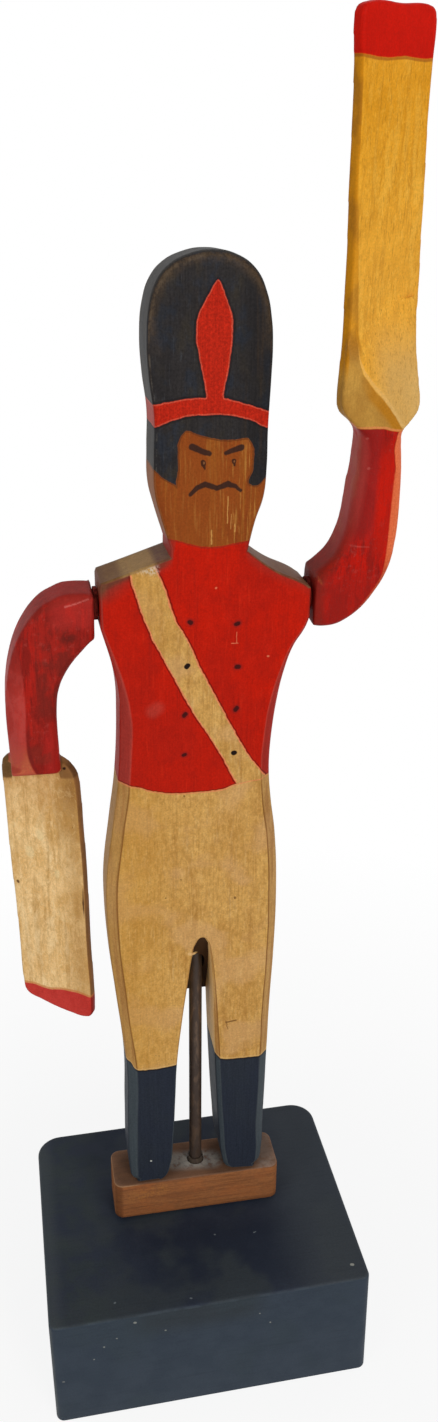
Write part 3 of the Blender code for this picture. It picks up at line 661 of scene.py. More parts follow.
def board_paint():
    """All the paint on the figure's one board."""
    f = Finish("figure_paint", FIGURE)
    sway = f.noise(6, detail=2, shift=2) - 0.5
    shake = f.noise(1.8, detail=1, shift=5) - 0.5
    x = f.x + sway * 0.8 + shake * 0.5
    z = f.z + (f.noise(6, detail=2, shift=8) - 0.5) * 0.8 + shake * 0.5
    front = f.ny.fall(-0.9, -0.5)
    facet = (-f.ny).near(0.707, 0.1, 0.06)
    ridge = (-f.ny).near(0.87, 0.05, 0.08)
    side = f.ny.near(0, 0.45, 0.15)

    grain = f.noise(0.75, 30, 3, 0.6, 1)
    wide = f.noise(2.4, 22, 3, 0.55, 4)
    blotch = f.noise(18, 1.5, 3, 0.6, 6)
    dust = f.noise(0.9, detail=2, rough=0.7, shift=7)

    def level(points):
        heights = [height for _, height in points]
        return x.follow(points, min(heights) - 5, max(heights) + 5)

    def within(left, right):
        return (x - z.follow(left, -40, 40)).least(z.follow(right, -40, 40) - x)

    hem = z - level(HEM)
    collar = z - level(COLLAR)
    boot = level(BOOT_TOPS) - z
    sash = within(SASH_LEFT, SASH_RIGHT)
    window = within(WINDOW_LEFT, WINDOW_RIGHT).least(level(WINDOW_TOP) - z)
    hair = z - level(HAIRLINE)
    hair = hair.least(-window).least(front * 40 - 20).most(hair.least(20 - front * 40))
    band = (z - level(BAND_LOW)).least(level(BAND_HIGH) - z)
    plume = within(PLUME_LEFT, PLUME_RIGHT).least(z - 414.5).least(front * 40 - 20)

    # Tan of the trousers and the sash, golden on the left and stained in places
    patchy = f.noise(5, 1.5, 4, 0.65, 33, 0.3)
    pores = f.noise(1.5, 1.8, 3, 0.65, 41, 0.4)
    # painted light: the walls inside the slot take a lighter tan instead of the side tint
    lit_slot_wall = side * abs(f.x).fall(15, 18) * f.z.fall(176, 180)
    tan = f.over("cf9f57",
        (blotch.rise(0.42, 0.62) * 0.7, "bf8d47"),
        (patchy.rise(0.48, 0.62) * 0.35, "b28240"),
        (patchy.fall(0.36, 0.46) * 0.4, "dcaf68"),
        (wide.rise(0.5, 0.66) * 0.45, "a87639"),
        (grain.rise(0.5, 0.68) * 0.5, "96692f"),
        (f.noise(1, 9, 3, 0.6, 9).rise(0.55, 0.7) * 0.28, "e2bf84"),
        (pores.rise(0.5, 0.62) * 0.35, "a4763a"),
        (pores.fall(0.38, 0.48) * 0.25, "dfb26a"),
        (f.noise(26, 0.8, 2, 0.5, 21).rise(0.48, 0.62) * 0.5, "cda06c"),
        (f.specks(5.5, 0.34, 0.25, 1) * 0.55, "75491f"),
        (f.x.fall(-30, -4) * 0.35, "c08a34"),
        (facet * 0.4, "b58a56"),
        (facet * wide.rise(0.45, 0.6) * 0.4, "9a6434"),
        (side * (1 - lit_slot_wall) * 0.4, "9a7040"),
        (lit_slot_wall * 0.8, "efc98c"),
        (ridge * f.z.fall(245, 262) * 0.85, "7d5023"))

    # Red of the jacket, deeper low on the left, with painted shade under the shoulders
    under = level(SHOULDERS) - f.z
    smudge = f.stroke((-20.5, 288), (-18.6, 289.4), 4.5).rise(0, 3.5)
    red = f.over("c01903",
        (blotch.rise(0.4, 0.62) * 0.5, "a6180a"),
        (patchy.rise(0.5, 0.62) * 0.2, "941409"),
        (patchy.fall(0.36, 0.46) * 0.25, "cc2410"),
        ((f.x * -0.012 + (310 - f.z) * 0.008).rise(-0.3, 0.9) * 0.4, "9c1c10"),
        (wide.rise(0.52, 0.75) * 0.4, "8f170d"),
        (grain.rise(0.52, 0.8) * 0.5, "83140b"),
        (f.noise(1.3, 12, 2, 0.5, 16).rise(0.6, 0.75) * 0.35, "d62c12"),
        # painted shade in a band under the shoulder line, deepest at the left shoulder
        (under.fall(0.5, 6) * (0.1 + blotch * 0.6 + f.x.fall(-30, -5) * 0.3), "962c22"),
        (under.fall(2, 11) * f.x.fall(-40, -22) * 0.8, "8a2f24"),
        (under.fall(0.8, 3.4) * f.x.fall(-20, -8) * 0.8, "5f3a2a"),
        (smudge * 0.35, "b04a3e"),
        (facet * 0.6, f.mix(f.x.rise(0, 5), "9a4038", "8f261b")),
        (side * 0.35, "8c2a20"),
        (ridge * f.z.fall(320, 330) * 0.35, "c2564a"))
    plume_red = f.mix(wide.rise(0.45, 0.7) * 0.4, "b82410", "a01a0b")

    # Black of the hat and hair, brown where the wood shows through
    black = mottled(
        f, "2c2929", ("252b35", 0.45, 0.65, 0.7), ("373128", 0.5, 0.7, 0.6),
        ("1f1d1f", 0.52, 0.7, 0.5), size=7, stretch=1.6, shift=11)
    worn = f.noise(2.6, 1, 4, 0.65, 14)
    rubbed = (-f.ny).fall(0.86, 0.997) * front * f.z.rise(416, 434)
    out, up = (f.x - 3.7) / 24.3, (f.z - 446) / 24.6
    crown = out * out + up * up
    crown = crown.rise(0.6, 0.92) * f.z.rise(430, 450) * front
    black = f.over(black,
        (wide.rise(0.55, 0.75) * (0.1 + f.x.rise(8, 24) * 0.45), "4a3826"),
        (f.noise(0.8, 10, 2, 0.6, 25).rise(0.6, 0.8) * 0.35, "4b4f55"),
        (rubbed * worn.rise(0.3, 0.62) * 0.5, "5d4c3a"),
        (side * (0.3 + worn * 0.3), "413e3a"),
        (f.x.rise(12, 21) * 0.5, "1a1819"),
        (ridge * f.nx.fall(-0.1, 0) * worn.rise(0.45, 0.6) * 0.25, "6e6a64"),
        (crown * (0.25 + worn.rise(0.3, 0.6) * 0.4), "564431"))

    # Brown of the face, redder on the left and streaked gold on the right
    skin = f.over("8e4617",
        (blotch.rise(0.42, 0.62) * 0.6, "7e3813"),
        (wide.rise(0.48, 0.72) * 0.5, "9e5e1f"),
        (grain.rise(0.5, 0.8) * 0.6, "6c3514"),
        (f.noise(1, 14, 2, 0.55, 31).rise(0.52, 0.72) * (0.25 + f.x.rise(2, 18) * 0.45), "b47c38"),
        (side * 0.5, "8a5a30"),
        (facet * 0.3, "a0683a"))

    # Blue-black of the boots
    navy = f.over("262b36",
        (blotch.rise(0.4, 0.65) * 0.5, "2a2f36"),
        (wide.rise(0.5, 0.75) * 0.3, "1f222b"),
        (facet * 0.65, "485155"),
        (side * 0.3, "363d42"),
        (ridge * 0.35, "4f5558"))

    # Laid on from the boots up
    salmon = "e2815a"
    paint = f.mix(boot.near(-0.55, 0.1, 0.5) * 0.5, tan, "dcb478")
    paint = f.coat(paint, hem, red, "6f100a", salmon)
    strip = sash.least(hem + 0.2)
    paint = f.over(paint,
        (sash.near(-0.45, 0.1, 0.4) * hem.rise(-0.2, 0.2) * 0.8, "6a0f08"),
        (strip.rise(-0.18, 0.18), tan),
        (sash.near(0.3, 0.1, 0.35) * hem.rise(0.2, 0.8) * 0.85, salmon),
        (f.stroke((-24.5, 351.5), (-19.5, 350.5), 3.6).rise(0, 3) * dust.rise(0.35, 0.6) * 0.7,
         "c9c0ae"))
    paint = f.coat(paint, collar, skin, None, "8c2a18")
    paint = f.coat(paint, hair, black, None, "5a2f16")
    paint = f.over(paint,
        (band.near(-0.5, 0.2, 0.4) * 0.6, "1b1414"),
        (plume.near(-0.5, 0.2, 0.4) * z.rise(417.5, 418.5) * 0.6, "1b1414"))
    crest = band.most(plume)
    paint = f.coat(paint, crest, plume_red, "d0563f")
    boots_edge = boot.near(0.5, 0.2, 0.5) * 0.6
    paint = f.over(paint,
        (crest.rise(-0.2, 0.2) * side * 0.5, "a86058"),
        (boot.rise(-0.18, 0.18), navy),
        (boots_edge, "17120f"))

    # Brows, eyes and moustache, then buttons and old marks
    for rows, low, high, strength, colour in (
            (BROWS + MOUSTACHE, -0.28, 0.28, 0.95, "33201a"), (EYES, -0.22, 0.22, 0.95, "3a1f14"),
            (EYE_LIGHTS, -0.2, 0.2, 0.8, "8a5a36"), (FACE_SCRATCHES, -0.15, 0.15, 0.7, "cf9a52"),
            (BUTTONS, -1.3, 0, 0.45, "6f1d1c"), (BUTTONS, -0.3, 0.3, 0.95, "3a1010"),
            (SASH_BUTTONS, -0.2, 0.2, 1, "1c0f0c"),
            (JACKET_SCRATCHES, -0.15, 0.15, 0.75, "dc7a56"),
            (TROUSER_MARKS, -0.2, 0.2, 0.8, "5f3a1c")):
        paint = f.mix(f.strokes(rows, x, z).rise(low, high) * front * strength, paint, colour)
    rough_spot = f.stroke((-20.6, 104), (-14.4, 100.5), 2.4).rise(0, 1.5)
    paint = f.over(paint,
        (rough_spot * f.specks(1.6, 0.45, 0.6, 3) * 0.8, "6e4a26"),
        (f.stroke((-25, 38.2), (-24.9, 38.1), 0.45).rise(-0.15, 0.15) * front, "b9bcb4"))

    # Bare, sawn shoulder tops, and dark brown in the rod's hole and on the crotch roof: painted
    # shade, on the roof partly its own dark paint
    top = f.nz.rise(0.45, 0.7) * f.z.near(350, 14, 2)
    bare = f.over("76512e",
        (f.x.rise(-34, -30), "a98450"),
        (f.x.rise(-20, -17), "6b4836"),
        (worn.rise(0.35, 0.7) * 0.5, "8a6a42"))
    corner = f.x.fall(-40.8, -37) * (level(SHOULDERS) - f.z).fall(1.5, 7)
    back = f.y.rise(7.5, 11.5) * side * dust.rise(0.35, 0.6)
    # painted shade inside the rod's hole and under the crotch roof
    hole = (f.x * f.x + f.y * f.y).math("SQRT")
    deep = hole.fall(4.42, 4.6) * f.z.near(185, 42, 1)
    roof = (-f.nz).rise(0.3, 0.5) * abs(f.x).fall(9.5, 11) * f.z.near(147, 26, 1)
    roof = roof * f.y.rise(-12.2, -11.4)
    paint = f.over(paint,
        (top * (0.75 + dust * 0.4), bare),
        (corner * 0.7, "6a4630"),
        (back * 0.6, "7a6a55"),
        (deep.most(roof), "2b1c15"),
        (f.stroke((-5, 162.6), (-1.2, 161.2), 0.9).rise(-0.1, 0.3) * f.y.fall(-11.4, -10.8) * 0.8,
         "d8b078"))

    tone = (dust - 0.5) * 0.7 + (grain - 0.5) * 0.5
    depth = 0.9 + hair.rise(-0.2, 0.2) * 0.9 + boot.rise(-0.2, 0.2) * 0.2
    paint = f.toned(paint, tone * depth)
    f.bump(grain * 0.5 + dust * 0.25, 0.35)
    return f.done(paint, 0.38 + blotch * 0.2 + worn * 0.1)


# The arms' paint lines in millimetres: across and along the blade, or out and along the arm
PARED_RIDGE = [
    (50, 125), (57.5, 113), (59.5, 105.3), (61.3, 96.4), (66.2, 89.1), (72, 83.4), (76.5, 77.8),
    (79.9, 73), (86, 66)]
OUTER_RUB = [
    (0, 74.5), (8, 76.8), (16, 78.2), (25, 78.6), (34, 78.7), (42, 78.7), (50, 78.8), (58, 79.3),
    (65, 80.6), (72, 81.4)]
UPPER_STRIP = [
    (88, -4), (95, -7.8), (104.6, -10.2), (126, -12.7), (147, -15), (165, -17), (185, -18.6),
    (212, -20.6)]
UPPER_SLEEVE_END = [
    (55, 75), (59.3, 74.4), (62.7, 72.4), (67.6, 72.6), (72.2, 72.5), (76.4, 71.6), (80.6, 71.1),
    (86, 71)]
LOWER_SLEEVE_END = [
    (56, 74), (61, 74.6), (64, 75.6), (69, 76.6), (74, 76.3), (79, 76.8), (83, 75.6), (86, 74)]
LOWER_FACET = [
    (-12, 88), (0, 80), (10, 77), (20, 74.6), (34, 73.8), (44, 73.6), (54, 74.1), (63.6, 74),
    (69.4, 72.9), (74.1, 71), (77, 69)]
LOWER_TIP_LINE = [(-20, 203.5), (-12, 202.4), (-4, 202.9), (4, 204.6), (11, 203.8), (20, 205)]
UPPER_TIP_LINE = [(-20, 201.2), (-8, 200.3), (2, 200.9), (10, 200.4), (20, 201)]


def blade_view(f, side):
    """Place on a blade and direction of its surface, square to its faces."""
    whole = ARM_FRAMES[side] @ Matrix.Translation((REACH[side], 0, 0)) @ Matrix.Rotation(
        BLADE_PITCH, 4, "Z")
    place, facing = f.seen_from(whole)
    return f.split(place), f.split(facing)


def blade_wood(f, light, golden, brown, pale):
    """Clear-finished wood along the blade, with short dark pores in its grain."""
    wide = f.noise(3.2, 16, 3, 0.55, 4, 0.6)
    fine = f.noise(0.6, 14, 3, 0.6, 1)
    blotch = f.noise(13, 1.4, 3, 0.6, 6)
    ripple = f.noise(1.5, 2.2, 2, 0.6, 9, 1.2)
    wood = f.over(light,
        (blotch.rise(0.4, 0.62) * 0.8, golden),
        (wide.rise(0.5, 0.66) * 0.5, brown),
        (f.noise(5.5, 5, 3, 0.6, 27, 0.5).rise(0.52, 0.64) * 0.4, pale),
        (ripple.rise(0.52, 0.7) * 0.35, brown),
        (ripple.fall(0.34, 0.46) * 0.4, pale),
        (fine.rise(0.56, 0.74) * 0.5, brown))
    return wood, fine, blotch


def sleeve_red(f, front, maroon, bright):
    """Old red brushed along a sleeve."""
    wide = f.noise(2.6, 7, 3, 0.6, 14, 0.6)
    fine = f.noise(0.7, 9, 3, 0.6, 11)
    blotch = f.noise(8, 1.3, 5, 0.7, 16, 0.4)
    red = f.over(front,
        (blotch.rise(0.42, 0.58) * 0.8, maroon),
        (wide.rise(0.5, 0.62) * 0.7, maroon),
        (wide.fall(0.38, 0.48) * 0.7, bright),
        (f.noise(3, detail=4, rough=0.7, shift=23).rise(0.56, 0.68) * 0.4, "a8443c"))
    return f.mix(fine.rise(0.52, 0.68) * 0.5, red, "6b1210"), fine, blotch


def lower_arm_paint():
    """The hanging arm: dull red sleeve, pale blade with brown shoulders, red tip."""
    f = Finish("lower_arm_paint", ARM_FRAMES["left"])
    (across, _, along), (ahead, _, _) = blade_view(f, "left")
    wobble = (f.noise(4, detail=2, shift=2) - 0.5) * 1.6
    dust = f.noise(0.8, detail=2, rough=0.7, shift=7)
    outer = f.x - f.z.follow(LOWER_FACET, 60, 90)

    red, fine, blotch = sleeve_red(f, "a2231a", "861d16", "b52016")
    facet = outer.rise(-0.5, 0.6) * f.z.rise(4, 22)
    pink = f.over("bb4841",
        (blotch.rise(0.42, 0.58) * 0.7, "ab3027"),
        (dust.rise(0.45, 0.62) * 0.3, "a8261e"),
        (f.z.rise(56, 72) * (0.2 + blotch.rise(0.4, 0.6) * 0.4), "cc7a50"))
    worn_back = f.y.rise(6.5, 10) * f.z.fall(20, 60)
    knot = f.stroke((53.6, 10.4), (55.6, 11), 2.6).rise(-1, 1.8) * blotch.rise(0.3, 0.55)
    red = f.over(red,
        (f.x.near(61, 5, 5) * f.z.near(25, 18, 8) * blotch.rise(0.35, 0.6) * 0.6, "74251d"),
        (f.x.fall(64, 69) * f.z.rise(46, 60) * 0.5, "b02420"),
        (f.x.near(52, 7, 5) * f.z.near(-1, 5, 5) * 0.5, "b6302a"),
        (f.z.near(65, 3, 3) * f.x.near(69, 4, 3) * blotch.rise(0.4, 0.55) * 0.5, "7c2a20"),
        (outer.near(-0.9, 0.3, 1) * f.z.rise(40, 55) * 0.5, "6c1c1a"),
        (facet * (0.3 + f.z.rise(18, 40) * 0.5), pink),
        (f.nz.fall(-0.6, -0.3) * 0.4, "8f2a20"),
        (worn_back * (0.5 + dust * 0.6), "6f5236"),
        ((-f.nx).rise(0.3, 0.7) * f.z.fall(-2, 4) * 0.5, "5c1d18"),
        (knot * 0.75, "5e1d17"),
        (f.stroke((55.3, -3.3), (45.2, -5.9), 0.5, 0.25).rise(-0.3, 0.4) * dust.rise(0.38, 0.55)
         * 0.6, "cd6a62"))

    wood, grain, stain = blade_wood(f, "f3ca8d", "e3b36f", "b88848", "fadca8")
    patchy = f.noise(3.2, 1.6, 4, 0.65, 37, 0.6)
    wood = f.over(wood,
        (along.fall(84, 112) * (0.3 + stain.rise(0.4, 0.6) * 0.4), "c08a4c"),
        ((-across).rise(3, 15) * (0.35 + stain * 0.5), "b5864a"),
        ((-across).rise(2, 9) * along.near(96, 12, 10) * 0.5, "ad7b38"),
        ((-across).rise(5, 14) * along.fall(84, 104) * 0.6, "8f6232"),
        (patchy.rise(0.5, 0.62) * 0.32, "c09352"),
        (patchy.fall(0.36, 0.46) * 0.25, "f0cc90"))
    for spot, size in (((8.7, 122.6), 3.2), ((-4.6, 131.7), 1.8), ((3, 112), 2.4)):
        near = f.stroke(spot, (spot[0], spot[1] + 2), size, x=across, z=along).rise(0, size * 0.6)
        wood = f.mix(near * 0.6, wood, "ebcf98")
    # The blade's edges that face one way are painted darker: partly stain, partly painted shade
    edge = ahead.fall(-0.75, -0.45)
    shaded_stained_edge = f.mix(stain.rise(0.4, 0.6) * 0.6, "744d2c", "93643a")
    crack = f.strokes(
        [((-17.4, 138), (-17.3, 146), 0.1, 0.5), ((-17.3, 146), (-17.5, 155), 0.5, 0.1)],
        across, along)
    slab = (f.x - 60).least(82.2 - f.x)
    under = (f.x - 60.6).least(81 - f.x).rise(-0.4, 0.4)
    shoulder = (along - across * 0.2 + wobble + under * 4).fall(81, 82.6)
    brown = f.over("8a5e34",
        (across.rise(-8, 8), "60431f"),
        (dust.rise(0.4, 0.62) * 0.5, "6f4928"),
        (edge, "634124"))
    wood = f.over(wood,
        (f.stroke((16.1, 142.2), (16, 142.6), 0.75, x=across, z=along).rise(-0.2, 0.3) * 0.9,
         "5c3a20"),
        (f.specks(4.2, 0.35, 0.25, 2, 1.6) * 0.6, "7d5428"),
        (edge * 0.9, shaded_stained_edge),
        ((crack + wobble * 0.2).rise(-0.2, 0.3) * 0.9, "3f1f14"),
        (shoulder * 0.9, brown),
        (f.stroke((-10.8, 74.4), (-10.7, 74.5), 0.7, x=across, z=along).rise(-0.2, 0.3),
         "2b1a12"))

    end = f.x.follow(LOWER_SLEEVE_END, 70, 80) + wobble * 0.4 - f.z
    sleeve = end.least(slab.most(f.z.fall(66, 67) * 20 - 10))
    tip = along - across.follow(LOWER_TIP_LINE, 195, 210) - wobble * 0.4
    tip_red = f.over("c83c34",
        (blotch.rise(0.4, 0.6) * 0.5, "b22c24"),
        (edge * 0.8, "86201b"))
    paint = f.over(wood,
        (end.near(-0.5, 0.2, 0.5) * slab.rise(-0.5, 0) * 0.7, "d07a4c"),
        (sleeve.rise(-0.25, 0.25), red),
        (tip.near(-0.6, 0.3, 0.6) * 0.7, "c9743c"),
        (tip.rise(-0.25, 0.25), tip_red))
    paint = f.toned(paint, (dust - 0.5) * 0.5)
    f.bump(grain * 0.6 + fine * 0.3 + dust * 0.3, 0.4)
    return f.done(paint, 0.4 + blotch * 0.2)


def upper_arm_paint():
    """The raised arm: red sleeve with an orange outer edge, partly rubbed and partly painted
    highlight, golden blade, red tip.
    """
    f = Finish("upper_arm_paint", ARM_FRAMES["right"])
    (across, _, along), (ahead, _, _) = blade_view(f, "right")
    wobble = (f.noise(4, detail=2, shift=3) - 0.5) * 1.6
    dust = f.noise(0.8, detail=2, rough=0.7, shift=8)

    red, fine, blotch = sleeve_red(f, "b4160a", "911811", "c41707")
    maroon = f.mix(blotch.rise(0.4, 0.6) * 0.5, "9c211e", "8c1c19")
    # painted highlight: the outer side facing right is painted orange like the rubbed band along
    # the edge, so the strip is partly worn paint and partly painted highlight
    lit_outer_side = f.nx.rise(0.12, 0.4) * (-f.ny).rise(0, 0.3)
    strip = f.over("ea7444",
        (f.z.fall(4, 26), "bb4222"),
        (dust.rise(0.45, 0.65) * 0.4, "e88a5c"))
    rubbed = (f.x - f.z.follow(OUTER_RUB, 70, 86) + wobble * 0.25).rise(-0.3, 0.4)
    rubbed = rubbed * f.z.rise(4, 14) * 0.85
    # painted light: the left-facing side is painted a lighter pink so that it does not read as
    # shaded
    inside = (-f.nx).rise(0.5, 0.85)
    lightened_left_side = f.over("9c2f26",
        (f.z.rise(22, 46), "b8463f"),
        ((-f.nx).rise(0.85, 0.97) * blotch.rise(0.4, 0.62) * 0.5, "bf6a50"))
    red = f.over(red,
        # painted shade: darker maroon over the inner part of the front, where it rounds over
        (f.x.fall(70.5, 74) * f.z.rise(18, 36) * 0.85, maroon),
        (f.z.fall(4, 18) * 0.55, "971c15"),
        (f.x.near(77, 3, 3) * f.z.near(42, 18, 10) * 0.6, "c41a08"),
        (f.nx.near(0.17, 0.03, 0.08) * f.z.rise(10, 20) * 0.55, "6d120c"),
        (lit_outer_side.most(rubbed) * f.z.rise(-8, 4) * f.z.fall(72, 75) * 0.9, strip),
        (inside * f.z.rise(4, 16) * (0.4 + blotch * 0.5), lightened_left_side),
        (f.x.fall(51, 55) * 0.5, "6b241b"),
        (f.nz.rise(0.3, 0.6) * f.z.near(14, 12, 6) * 0.35, "6a2c20"))
    nicks = f.strokes([((66.6, 68.2), (66.8, 68.4), 0.4), ((68.2, 56), (68.4, 56.3), 0.45)])
    scratch = f.stroke((63.5, 23.7), (70.5, 23.4), 0.35, 0.15) * dust.rise(0.35, 0.55)
    red = f.over(red,
        (nicks.rise(-0.25, 0.25) * 0.45, "c4625a"),
        (scratch.rise(-0.25, 0.25) * 0.3, "c4625a"))

    wood, grain, stain = blade_wood(f, "eda82c", "dc9820", "bc7c14", "f7bf4c")
    dashes = f.noise(0.55, 9, 1, 0.4, 19)
    below = (f.x + wobble * 0.4).follow(PARED_RIDGE, 60, 130) - f.z
    root = f.over("c49443",
        (stain.rise(0.4, 0.6) * 0.7, "a67530"),
        (fine.rise(0.5, 0.64) * 0.35, "a97a35"),
        (below.near(2.4, 1.6, 3.5) * f.x.rise(60, 68) * (0.5 + stain * 0.6), "b47414"))
    # painted shade: the blade's left edge and a thin band beside it on the face are painted a
    # darker gold
    strip_edge = along.follow(UPPER_STRIP, -22, -3) - across
    edge = ahead.fall(-0.75, -0.4).most(strip_edge.rise(-0.3, 0.6) * f.z.rise(96, 106) * 0.8)
    shaded_golden_edge = f.mix(stain.rise(0.45, 0.6) * 0.7, "c98210", "9c6218")
    wood = f.over(wood,
        (along.fall(120, 190) * 0.35, "ecae4a"),
        (along.rise(150, 200) * 0.4, "d68c16"),
        (across.rise(-10, 3) * along.fall(90, 118) * (0.5 + stain * 0.7), "cfa35c"),
        (across.rise(6, 15) * along.fall(82, 108) * 0.5, "dcb36e"),
        (dashes.rise(0.62, 0.7) * 0.4, "a06a1c"),
        (f.specks(5, 0.42, 0.22, 4, 2.2) * 0.65, "7c4c18"),
        (below.rise(-0.4, 0.6) * f.z.fall(103, 112), root),
        (below.near(-1.2, 0.3, 1.4) * f.z.fall(100, 108) * 0.35, "e8bd78"),
        (edge * f.z.rise(88, 100) * 0.9, shaded_golden_edge))

    end = f.x.follow(UPPER_SLEEVE_END, 65, 80) + wobble * 0.3 - f.z
    tip = along - across.follow(UPPER_TIP_LINE, 195, 206) - wobble * 0.3
    tip_red = f.mix(blotch.rise(0.4, 0.6) * 0.4, "cc1504", "b91305")
    paint = f.over(wood,
        (end.near(-0.5, 0.2, 0.5) * 0.75, "e08a50"),
        (end.rise(-0.25, 0.25), red),
        (tip.near(-0.5, 0.2, 0.5) * 0.6, "8e3a14"),
        (tip.rise(-0.25, 0.25), tip_red))
    paint = f.toned(paint, (dust - 0.5) * 0.5)
    f.bump(grain * 0.6 + fine * 0.3 + dust * 0.3, 0.4)
    return f.done(paint, 0.38 + blotch * 0.2)


def block_paint():
    """Navy paint, darker on the top and lighter on the upright faces as painted shade and light,
    with greenish wear and pale chips.
    """
    f = Finish("block_paint")
    top = f.nz.rise(0.5, 0.75)
    cloud = f.noise(34, detail=3, shift=1)
    blotch = f.noise(14, detail=4, rough=0.6, shift=3)
    brushed = f.noise(1.3, (14, 1.2, 1.2), 3, 0.6, 5)
    dust = f.noise(0.9, detail=2, rough=0.7, shift=9)
    # The top is painted a darker navy than the upright faces' slate: painted shade and painted
    # light of how the light falls on them
    navy = f.over("2f3541",
        (blotch.rise(0.4, 0.62) * 0.6, "282e3b"),
        # painted shade on the top in front of the bar
        (f.x.near(12, 25, 30) * f.y.near(-35, 12, 16) * 0.6, "1d2330"),
        (cloud.rise(0.45, 0.62) * 0.7, "383e41"),
        (f.x.rise(30, 62) * 0.7, "40454a"),
        (f.x.fall(-62, -36) * blotch.rise(0.38, 0.6) * 0.5, "394140"),
        (f.x.fall(-77, -69) * 0.5, "4c5255"))
    left = (-f.nx).rise(0.6, 0.85)
    slate = f.over("353e49",
        (blotch.rise(0.4, 0.62) * 0.5, "2f3843"),
        (f.x.near(-8, 22, 18) * f.z.rise(44, 58) * 0.6, "2e3233"),
        (cloud.rise(0.5, 0.65) * 0.4, "333d44"),
        (left * 0.95, "464c50"))
    edge = f.nz.near(0.6, 0.15, 0.15) * f.y.fall(-58, -50)
    faint = f.strokes([
        ((7.8, -22), (8, -22.1), 0.4), ((-46.9, -52.8), (-46.7, -52.7), 0.45),
        ((-10.5, -57), (-10, -57.2), 0.4), ((28, -24.5), (29, -24.2), 0.4, 0.2)],
        f.x, f.y).rise(-0.2, 0.2) * top
    on_top = f.stroke((71.6, -53.2), (72.2, -53.4), 0.7, z=f.y).rise(-0.2, 0.2) * top
    in_front = f.strokes([
        ((-38.4, 60.5), (-38.1, 60.4), 0.65), ((-53.7, 47.3), (-53.6, 47.1), 0.42),
        ((-47.4, 51.7), (-47.3, 51.6), 0.34), ((-58.9, 40), (-58.8, 40.1), 0.34),
        ((-23.8, 51.5), (-23.6, 51.4), 0.38), ((-74.5, 28.4), (-73.9, 28.3), 0.3),
        ((28.2, 44.8), (28.3, 44.7), 0.38), ((22.9, 52.2), (23, 52.1), 0.34)])
    in_front = in_front.rise(-0.2, 0.2) * f.y.fall(-60, -58)
    few = f.specks(17, 0.42, 0.13, 5)
    paint = f.over(slate,
        (top, navy),
        (brushed.rise(0.5, 0.75) * 0.15, "1b2029"),
        (edge * blotch.rise(0.4, 0.6) * 0.4, "465059"),
        (faint * 0.45, "8d969a"),
        (on_top.most(in_front * (1 - top) * 0.6) * 0.8, "aaaba2"),
        (few * 0.3, "6c716f"))
    paint = f.toned(paint, (dust - 0.5) * 0.4)
    f.bump(brushed * 0.5 + blotch * 0.7 + dust * 0.2, 0.35)
    return f.done(paint, 0.4 + blotch * 0.25, gloss=0.08)


def bar_stain():
    """Brown stained bar with grey dirt round the rod, painted shadow under the boots and painted
    shade along its foot.
    """
    f = Finish("bar_stain", FIGURE)
    grain = f.noise(0.7, (26, 2, 1), 4, 0.6, 1)
    wide = f.noise(2.2, (14, 1.5, 1), 3, 0.6, 3, 0.4)
    blotch = f.noise(8, (2, 1, 1), 3, 0.6, 2)
    dust = f.noise(0.9, detail=2, rough=0.7, shift=6)
    top = f.nz.rise(0.3, 0.8)
    golden = f.stroke((-34, 15), (-20, 18), 6).rise(0, 5) * dust.rise(0.4, 0.65)
    golden = golden * (-f.ny).rise(0.5, 0.8)
    edge = abs(f.nz - 0.5).fall(0.1, 0.35)
    round_rod = f.stroke((-11, 0), (8, -2), 8.5, z=f.y).rise(0, 6) * top
    right_end = f.stroke((36, -8), (36, 8), 9, z=f.y).rise(0, 7) * top
    right_end = right_end * blotch.rise(0.3, 0.55)
    cover = f.noise(3, detail=4, rough=0.65, shift=13)
    grey = f.mix(cover.rise(0.4, 0.6), "a09e99", "b4ada2")
    brown = f.over("96603a",
        (wide.rise(0.42, 0.66) * 0.6, "7c4c30"),
        (grain.rise(0.48, 0.7) * 0.5, "5f3820"),
        (blotch.rise(0.48, 0.66) * 0.45, "9c5c34"),
        (golden * 0.28, "b47a34"),
        (f.noise(1.6, (2.2, 1, 1), 3, 0.65, 17).rise(0.45, 0.62) * 0.3, "6e4a34"),
        (f.x.fall(-41, -39) * (-f.ny).rise(0.2, 0.6) * 0.5, "4f2e1c"),
        (f.specks(6, 0.3, 0.25, 3) * 0.6, "54301c"),
        (top * (0.35 + blotch * 0.3), "7d6757"),
        (edge * wide.rise(0.45, 0.6) * 0.5, "6a4630"),
        (edge * f.x.fall(-36, -28) * 0.6, "b48c66"),
        # painted shade along the foot of the bar
        (f.z.fall(1.5, 4.5) * 0.5, "4c2d1c"),
        (round_rod.most(right_end * 0.35) * cover.rise(0.25, 0.5) * 0.95, grey))
    # painted shadow of the boots on the bar top
    for boot in (-24.4, 22.5):
        shade_at = f.stroke((boot - 6, -3), (boot + 6, 3), 17, z=f.y).rise(0, 7) * top
        brown = f.mix(shade_at * 0.45, brown, "3f2a1f")
    chip = f.stroke((43.1, -11.3), (42.6, -11.3), 0.4, z=f.y).rise(-0.2, 0.2) * top
    brown = f.mix(chip, brown, "d0b08a")
    brown = f.toned(brown, (dust - 0.5) * 0.4)
    f.bump(grain * 0.5 + wide * 0.5 + dust * 0.2, 0.4)
    return f.done(brown, 0.46 + blotch * 0.2)


